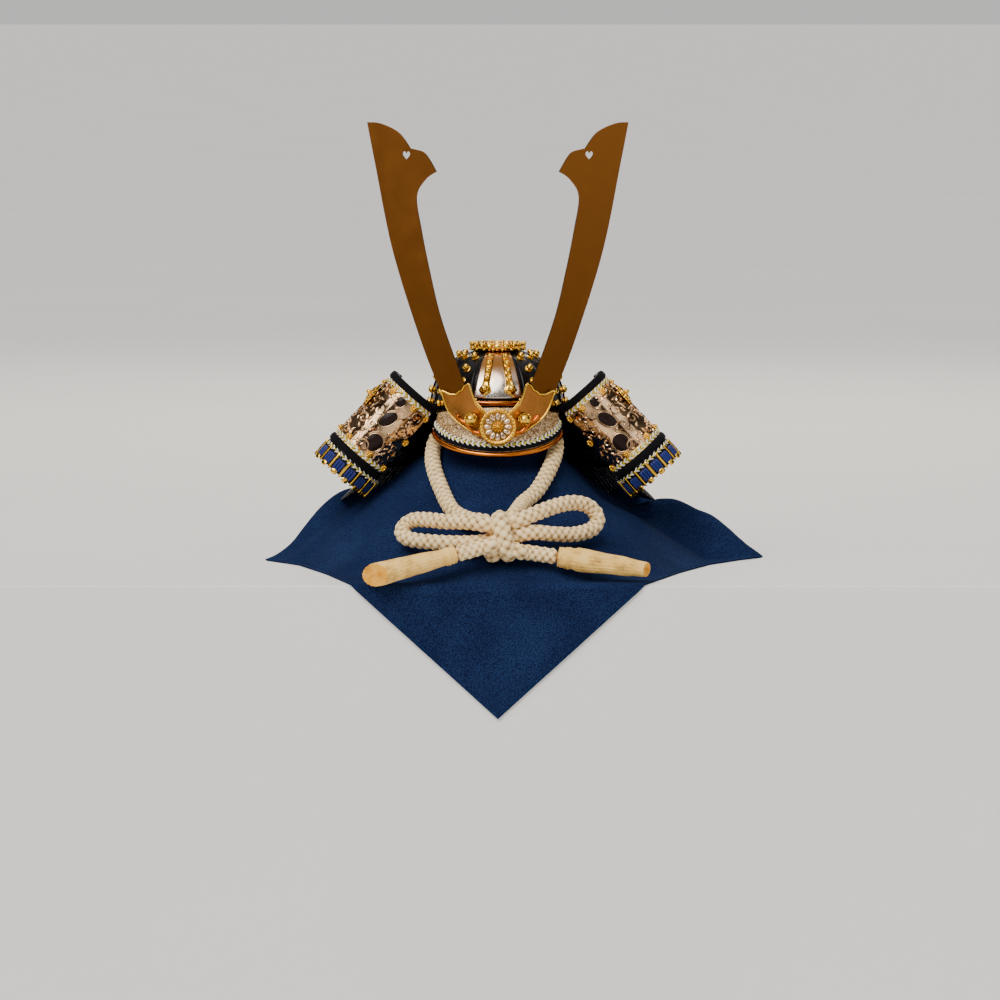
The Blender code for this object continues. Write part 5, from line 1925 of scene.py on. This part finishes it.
class KABUTO_OT_neck(bpy.types.Operator):
    """Add the neck guard's rows of lacquered scales with their blue lacing and gold edges."""

    bl_idname = "kabuto.add_neck_guard"
    bl_label = "Neck guard"

    def execute(self, context):
        lacing_places = []
        rims = []
        for row in range(NECK_ROWS):
            covered = 1 + (NECK_OVERLAP if row < NECK_ROWS - 1 else 0.9)
            radius = neck_line((row + 1) / NECK_ROWS)[0]
            scales = round(math.pi * 1.2 * radius / (4.2 * MM))
            columns = scales * 6

            def place(u, v):
                phase = (u * scales) % 1
                ridge = math.sin(math.pi * phase) ** 0.6 if 0 < u < 1 else 0
                foot = 0.35 * MM * max(0, v - 0.86) / 0.14
                down = covered * v if covered < 1.5 else v * (covered - (covered - 1) * abs(2 * u - 1) ** 14)
                return neck_place(row, 2 * u - 1, down, 1.05 * MM + 0.42 * MM * ridge - foot)

            scale_row = open_sheet(f"scales_{row + 1}", columns, 10, place, (0, 1, 0))
            walled(scale_row, 1.0 * MM, 1)
            finished(scale_row, "black_lacquer", [f"neck_row_{row + 1}"], 40)

            line = [neck_place(row, 0.998 * (k / 60 - 1), covered, 0.75 * MM) for k in range(121)]
            if row < NECK_ROWS - 1:
                rims.append(rod("rim", line, 0.72 * MM, 8))
            blocks = round(math.pi * 1.22 * radius / (8.5 * MM))
            first, last = 0.36, 1.12
            middle = (first + last) / 2
            for k in range(blocks):
                share = (2 * (k + 0.5) / blocks - 1) * 0.985
                spot = neck_place(row, share, middle, 1.5 * MM)
                higher = neck_place(row, share, middle - 0.1, 1.42 * MM)
                beside = neck_place(row, share + 0.004, middle, 1.42 * MM)
                normal = (beside - spot).cross(higher - spot).normalized()
                if normal.dot(Vector((spot.x, spot.y, 0))) < 0:
                    normal = -normal
                lacing_places.append(seat_at(spot, normal, higher - spot))
        laced = copies("neck_lacing", lacing_block(5.6 * MM, 10.6 * MM), lacing_places)
        finished(laced, "blue_lacing", (), 60)
        finished(joined("neck_rims", rims), "deep_gold", (), 60)
        return {"FINISHED"}


# Turnbacks

Scroll = namedtuple("Scroll", "along turn radius hand lead")
# Scrolls on the plate: millimetres along it, degrees round it, radius, hand, and where each starts.
SCROLLS = [
    Scroll(*numbers)
    for numbers in (
        (11, 112, 4.6, 1, 40), (17, 82, 4.4, -1, 200), (13, 58, 4.2, 1, 90), (25, 62, 4.8, -1, 300),
        (36, 66, 4.2, 1, 10), (48, 98, 4.6, -1, 120), (34, 112, 4.8, 1, 250), (49, 60, 4.4, 1, 60),
        (40, 46, 4.2, -1, 180), (22, 44, 4.4, 1, 330), (10, 136, 4.4, -1, 20), (24, 122, 4.6, -1, 150),
        (46, 124, 4.6, 1, 280), (35, 138, 4.6, -1, 80), (21, 148, 4.4, 1, 210), (48, 150, 4.2, -1, 340),
        (33, 164, 4.6, 1, 100), (44, 176, 4.2, 1, 230), (10, 160, 4.0, 1, 310), (34, 190, 4.4, -1, 50),
        (48, 198, 4.0, 1, 170), (24, 203, 4.0, 1, 260), (11, 200, 4.2, -1, 0),
    )
]
DarkOval = namedtuple("DarkOval", "along turn long wide lean")
DARK_OVALS = [
    DarkOval(25, 96, 13.5, 7.6, 18),
    DarkOval(11.5, 101, 7.4, 6.2, 0),
    DarkOval(42, 86, 12.4, 10.6, 0),
]
# The studs' places: millimetres along the roll and degrees round it.
STUDS = [(10, 178), (50, 178), (9.5, 74), (50, 79), (51.5, 34), (30, 33), (10, 35), (50, 130), (9.5, 128)]
BLOCK_TURNS = [5, 30, 55, 80, 105, 130, 155, 180, 205]


def roll_seat(along, turn, lift):
    """Where a fitting sits on the right turnback, its top towards the bowl."""
    return seat_at(roll_point(along, turn, lift), roll_arm(turn), -roll_frame()[1])


def roll_flat(seat_along, seat_turn, x, y, lift):
    """A place beside a spot on the right turnback: x round it and y towards the bowl, in metres."""
    radius = roll_radius(seat_along)
    return roll_point(seat_along - y, seat_turn + x / radius, lift)


def roll_sheet(name, columns, rows, start, stop, first, last, lift, thickness):
    """A curved sheet on the right turnback, its wall behind its face."""

    def place(u, v):
        return roll_point(start + (stop - start) * u, first + (last - first) * v, lift)

    sheet = open_sheet(name, columns, rows, place, roll_arm((first + last) / 2))
    return walled(sheet, thickness)


def round_band(name, start, stop, high):
    """A soft rounded band right round the right turnback."""

    def place(u, v):
        turn = ROLL_START + (ROLL_END - ROLL_START) * v
        lean = math.tau * u
        end = min(1, min(v, 1 - v) * 40 + 0.02)
        wide = squared(math.cos(lean), 0.7) * (stop - start) / 2
        tall = (squared(math.sin(lean), 0.7) * 0.5 + 0.5) * high * end
        return roll_point((start + stop) / 2 + wide * end**0.5, turn, tall)

    return closed_form(name, 14, 72, place)


def roll_line(along, lift, first, last, steps):
    """(point, normal) pairs round the right turnback."""
    turns = [first + (last - first) * k / steps for k in range(steps + 1)]
    return [(roll_point(along, turn, lift), roll_arm(turn)) for turn in turns]


class KABUTO_OT_turnbacks(bpy.types.Operator):
    """Add the two turnbacks: chased silver plates, velvet bands, braid, studs, crests and laced tails."""

    bl_idname = "kabuto.add_turnbacks"
    bl_label = "Turnbacks"

    def execute(self, context):
        board = roll_sheet("board", 24, 60, 0, ROLL_LENGTH, ROLL_START, ROLL_END, -GAP, ROLL_WALL)
        boards = both_sides("turnback_boards", board)
        finished(boards, "black_lacquer", ["turnback_board_left", "turnback_board_right"], 40)
        inset = math.radians(4)
        first, last = ROLL_START + inset, ROLL_END - inset
        start, stop = BAND_LENGTH + GAP, ROLL_LENGTH - BAND_LENGTH - GAP
        plate = roll_sheet("plate", 30, 90, start, stop, first, last, 0.9 * MM, 0.9 * MM)
        pieces = [plate]
        for scroll in SCROLLS:
            turn = math.radians(scroll.turn)
            line = spiral(1.35, scroll.radius * MM, scroll.hand, math.radians(scroll.lead))
            points = [roll_flat(scroll.along * MM, turn, x, y, 0.95 * MM) for x, y in line]
            total = path_length(points)

            def taper(around, along):
                return (0.42 + 0.36 * math.sin(math.pi * min(1, along / total))) * MM

            pieces.append(swept("vine", points, taper, 6, rounded=0.8 * MM))
        plates = both_sides("turnback_plates", joined("chased_plate", pieces))
        finished(plates, "chased_silver", ["turnback_plate_left", "turnback_plate_right"], 45)
        self.add_leaves()
        self.add_ovals()
        self.add_bands(first, last)
        self.add_studs_and_crest()
        self.add_tails()
        return {"FINISHED"}

    def add_leaves(self):
        """Small raised leaves round every scroll."""
        master = lens("leaf", 8, 6, 4.2 * MM, 1.9 * MM, 1.6 * MM, 1.2)
        places = []
        for scroll in SCROLLS:
            for k in range(3):
                angle = math.radians(scroll.lead) + scroll.hand * math.tau * (0.52 + 0.29 * k)
                reach = (scroll.radius + 0.5) * MM
                turn = math.radians(scroll.turn)
                x, y = reach * math.cos(angle), reach * math.sin(angle)
                along = scroll.along * MM - y
                around = turn + x / roll_radius(scroll.along * MM)
                inside = 6.5 * MM < along < 52.8 * MM and math.radians(35) < around < math.radians(207)
                clear = True
                for oval in DARK_OVALS:
                    aside = (around - math.radians(oval.turn)) * 19 * MM
                    clear = clear and math.hypot(along - oval.along * MM, aside) > oval.long * 0.56 * MM
                if inside and clear:
                    spin = Matrix.Rotation(angle + 0.6 * scroll.hand, 4, "Z")
                    places.append(roll_seat(along, around, 1.0 * MM) @ spin)
        leaves = copies("scroll_leaves", master, places)
        finished(both_sides("turnback_leaves", leaves), "chased_silver", (), 50)

    def add_ovals(self):
        """Dark enamelled ovals with silver rims."""
        domes, rims = [], []
        for oval in DARK_OVALS:
            lean = math.radians(oval.lean)
            turn = math.radians(oval.turn)

            def spot(x, y, lift):
                a = x * math.cos(lean) - y * math.sin(lean)
                b = x * math.sin(lean) + y * math.cos(lean)
                return roll_flat(oval.along * MM, turn, a, b, lift)

            def dome(u, v):
                angle = math.tau * u
                x = oval.wide / 2 * v * MM * math.cos(angle)
                y = oval.long / 2 * v * MM * math.sin(angle)
                return spot(x, y, (1.0 + 0.8 * (1 - v**2)) * MM)

            domes.append(open_sheet("oval", 40, 8, dome, roll_arm(turn)))
            for scale, radius in ((1.0, 0.4), (1.18, 0.24)):
                ring = []
                for k in range(49):
                    angle = math.tau * k / 48
                    x = oval.wide / 2 * scale * MM * math.cos(angle)
                    y = oval.long / 2 * scale * MM * math.sin(angle)
                    ring.append(spot(x, y, 1.15 * MM))
                rims.append(rod("rim", ring, radius * MM, 8))
        finished(both_sides("dark_ovals", joined("ovals", domes)), "dark_enamel", (), 60)
        finished(both_sides("oval_rims", joined("rims", rims)), "chased_silver", (), 60)

    def add_bands(self, first, last):
        """Velvet bands at both ends of the roll, and the braid beside each."""
        for place, start in (("upper", 0), ("lower", ROLL_LENGTH - BAND_LENGTH)):
            band = both_sides(f"{place}_velvet", round_band("band", start, start + BAND_LENGTH, 2.5 * MM))
            nodes = [f"turnback_{place}_band_{side}" for side in ("left", "right")]
            finished(band, "black_velvet", nodes, 60)
            along = BAND_LENGTH + 2.0 * MM if place == "upper" else ROLL_LENGTH - BAND_LENGTH - 2.0 * MM
            line = roll_line(along, 1.1 * MM, first, last, 160)
            braided_trim(f"{place}_braid", line, 3.1 * MM, 3.8 * MM, BOTH_SIDES)
            for offset in (-1.55, 1.55):
                line = [point for point, _ in roll_line(along + offset * MM, 1.0 * MM, first, last, 90)]
                cord = both_sides(f"{place}_piping", rod("piping", line, 0.42 * MM, 8))
                finished(cord, "bright_gold", (), 60)

    def add_studs_and_crest(self):
        places = [roll_seat(along * MM, math.radians(turn), 1.15 * MM) for along, turn in STUDS]
        studs = copies("flower_studs", flower_stud(4.9 * MM), places)
        finished(both_sides("turnback_studs", studs), "bright_gold", (), 45)
        seat = roll_seat(21 * MM, math.pi, 0.2 * MM)
        stem = [(0, 0), (3.2, 0), (3.2, 1.0), (6.4, 1.7), (0, 1.9)]
        rows = [
            petal_disc("outer", 12, 1.5 * MM, 9.4 * MM, 0.9 * MM, 2.2 * MM, 0.18),
            petal_disc("inner", 8, 0.6 * MM, 6.2 * MM, 1.9 * MM, 3.4 * MM, 0.2),
            turned("stem", [(r * MM, z * MM) for r, z in stem], 28),
        ]
        heart = ball_stud(3.4 * MM, 12)
        heart.data.transform(Matrix.Translation((0, 0, 2.4 * MM)))
        dots = copies("dots", bead(0.7 * MM, 8), round_places(12, 6.3 * MM, 2.0 * MM, 0.5))
        crest = joined("crest_flower", [*rows, heart, dots])
        crest.data.transform(seat)
        finished(both_sides("crest_flowers", crest), "bright_gold", ["crest_left", "crest_right"], 45)

    def add_tails(self):
        """The laced scales that hang below the roll."""
        tail_start, tail_end = math.radians(2), ROLL_END - math.radians(6)
        start, stop = ROLL_LENGTH - 0.8 * MM, ROLL_LENGTH + TAIL_LENGTH - 2 * MM
        base = roll_sheet("tail", 10, 90, start, stop, tail_start, tail_end, 1.0 * MM, 1.0 * MM)
        nodes = ["turnback_tail_left", "turnback_tail_right"]
        finished(both_sides("tail_scales", base), "black_lacquer", nodes, 45)
        blocks = [roll_seat(ROLL_LENGTH + 8.4 * MM, math.radians(turn), 1.0 * MM) for turn in BLOCK_TURNS]
        lacing = copies("tail_lacing", lacing_block(6.2 * MM, 7.4 * MM), blocks)
        finished(both_sides("tail_blocks", lacing), "blue_lacing", (), 60)

        def slat(u, v):
            turn = math.tau * u
            end = 0 if v in (0, 1) else 1
            wide = squared(math.cos(turn), 0.5) * 0.85 * MM * end
            tall = (0.5 + squared(math.sin(turn), 0.5) * 0.5) * 1.25 * MM * end
            return Vector((wide, (0.5 - v) * 13.6 * MM, tall))

        uprights = []
        tips = []
        for k in range(len(BLOCK_TURNS) * 3 - 2):
            turn = math.radians(BLOCK_TURNS[0] + 25 / 3 * k)
            if k % 3 == 0:
                tips.append(roll_seat(ROLL_LENGTH + 13.2 * MM, turn, 0.5 * MM))
            else:
                swing = math.radians(12.5 if k % 3 == 1 else -12.5) / 3.2
                uprights.append(roll_seat(ROLL_LENGTH + 7.6 * MM, turn + swing, 1.0 * MM))
        slats = copies("slats", closed_form("slat", 12, 10, slat), uprights)
        tip = lens("tip", 12, 8, 3.4 * MM, 4.6 * MM, 1.4 * MM, 0.5)
        tip.data.transform(Matrix.Translation((0, 0, 0.7 * MM)) @ Matrix.Rotation(-math.pi / 2, 4, "Z"))
        slats = joined("slats", [slats, copies("tips", tip, tips)])
        finished(both_sides("tail_slats", slats), "bright_gold", (), 50)
        line = roll_line(ROLL_LENGTH + 2.3 * MM, 1.1 * MM, tail_start, tail_end, 120)
        braided_trim("tail_braid", line, 2.2 * MM, 3.9 * MM, BOTH_SIDES)


# Studio


class KABUTO_OT_studio(bpy.types.Operator):
    """Add the camera, the soft lights, the plain ledge and the floor below it."""

    bl_idname = "kabuto.add_studio"
    bl_label = "Camera, lights and floor"

    def execute(self, context):
        studio = context.scene.kabuto_studio
        bpy.ops.object.camera_add(
            location=(-0.001266, -3.44, 0.351), rotation=(math.pi / 2 - studio.tilt, 0, -0.000775)
        )
        camera = context.object
        camera.name = "photo_camera"
        camera.data.sensor_width = 36
        camera.data.lens = studio.lens
        camera.data.clip_end = 400
        context.scene.camera = camera
        for name, place, aim, power, size, colour in (
            ("key", (-0.9, -1.6, 1.9), (0, -0.02, 0.1), studio.key_power, 1.1, (1.0, 0.96, 0.9)),
            ("fill", (1.5, -1.5, 0.9), (0, -0.02, 0.1), studio.key_power * 0.4, 1.2, (0.95, 0.97, 1.0)),
            ("back", (0.1, 1.5, 1.3), (0, 0, 0.15), studio.key_power, 1.0, (1.0, 0.9, 0.72)),
        ):
            ray = Vector(aim) - Vector(place)
            bpy.ops.object.light_add(
                type="AREA", location=place, rotation=ray.to_track_quat("-Z", "Y").to_euler()
            )
            lamp = context.object
            lamp.name = name + "_light"
            lamp.data.energy = power
            lamp.data.size = size
            lamp.data.color = colour
        bpy.ops.object.light_add(type="SUN", rotation=(math.radians(42), 0, math.radians(-28)))
        sun = context.object
        sun.name = "wide_light"
        sun.data.energy = studio.sun
        sun.data.angle = math.radians(50)
        world = bpy.data.worlds.new("pale_room")
        world.use_nodes = True
        tree = world.node_tree
        back = tree.nodes["Background"]
        back.inputs["Strength"].default_value = studio.world_strength
        place = add_node(tree, "TexCoord").outputs["Generated"]
        pale, dark = (0.63, 0.625, 0.615), (0.07, 0.065, 0.06)
        stops = [(0.0, (0.3, 0.29, 0.28)), (0.47, pale), (0.54, pale), (0.62, dark), (0.82, dark)]
        stops.append((0.92, (0.95, 0.94, 0.93)))
        plug(back, Color=ramp(tree, spread(tree, height_of(tree, place), 0, 1, -1, 1), stops))
        context.scene.world = world

        def slab(name, low, high, bevel):
            deselect()
            size = [b - a for a, b in zip(low, high)]
            middle = [(a + b) / 2 for a, b in zip(low, high)]
            bpy.ops.mesh.primitive_cube_add(size=1, location=middle, scale=size)
            obj = context.object
            obj.name = name
            bpy.ops.object.transform_apply(location=True, rotation=True, scale=True)
            apply_modifier(obj, "BEVEL", width=bevel, segments=3)
            obj.data.materials.append(plain_stage_finish(name + "_finish", tuple(studio.floor)))
            return obj

        slab("ledge", (-30, -LEDGE_FRONT, -0.28), (30, 180, 0), 1.2 * MM)
        slab("floor", (-30, -30, -0.3), (30, -LEDGE_FRONT - 0.001, -0.28), 1 * MM)
        return {"FINISHED"}


# Panel and start


OPERATORS = (
    KABUTO_OT_studio,
    KABUTO_OT_cords,
    KABUTO_OT_stand,
    KABUTO_OT_cloth,
    KABUTO_OT_bowl,
    KABUTO_OT_crown,
    KABUTO_OT_front,
    KABUTO_OT_visor,
    KABUTO_OT_holder,
    KABUTO_OT_horns,
    KABUTO_OT_neck,
    KABUTO_OT_turnbacks,
)
SETTINGS = {"kabuto_studio": KabutoStudio, "kabuto_soft": KabutoSoft, "kabuto_metal": KabutoMetal}


class KABUTO_PT_panel(bpy.types.Panel):
    """Lists the helmet's pieces."""

    bl_idname = "KABUTO_PT_panel"
    bl_label = "Draped kabuto"
    bl_space_type = "VIEW_3D"
    bl_region_type = "UI"
    bl_category = "Kabuto"

    def draw(self, context):
        column = self.layout.column()
        for operator in OPERATORS:
            column.operator(operator.bl_idname)


def register():
    for made in (*SETTINGS.values(), *OPERATORS, KABUTO_PT_panel):
        bpy.utils.register_class(made)
    for name, kind in SETTINGS.items():
        setattr(bpy.types.Scene, name, bpy.props.PointerProperty(type=kind))


def unregister():
    for name in SETTINGS:
        delattr(bpy.types.Scene, name)
    for made in (KABUTO_PT_panel, *reversed(OPERATORS), *reversed(SETTINGS.values())):
        bpy.utils.unregister_class(made)


def main():
    register()
    for operator in OPERATORS:
        getattr(bpy.ops.kabuto, operator.bl_idname.split(".")[1])()


if __name__ == "__main__":
    main()
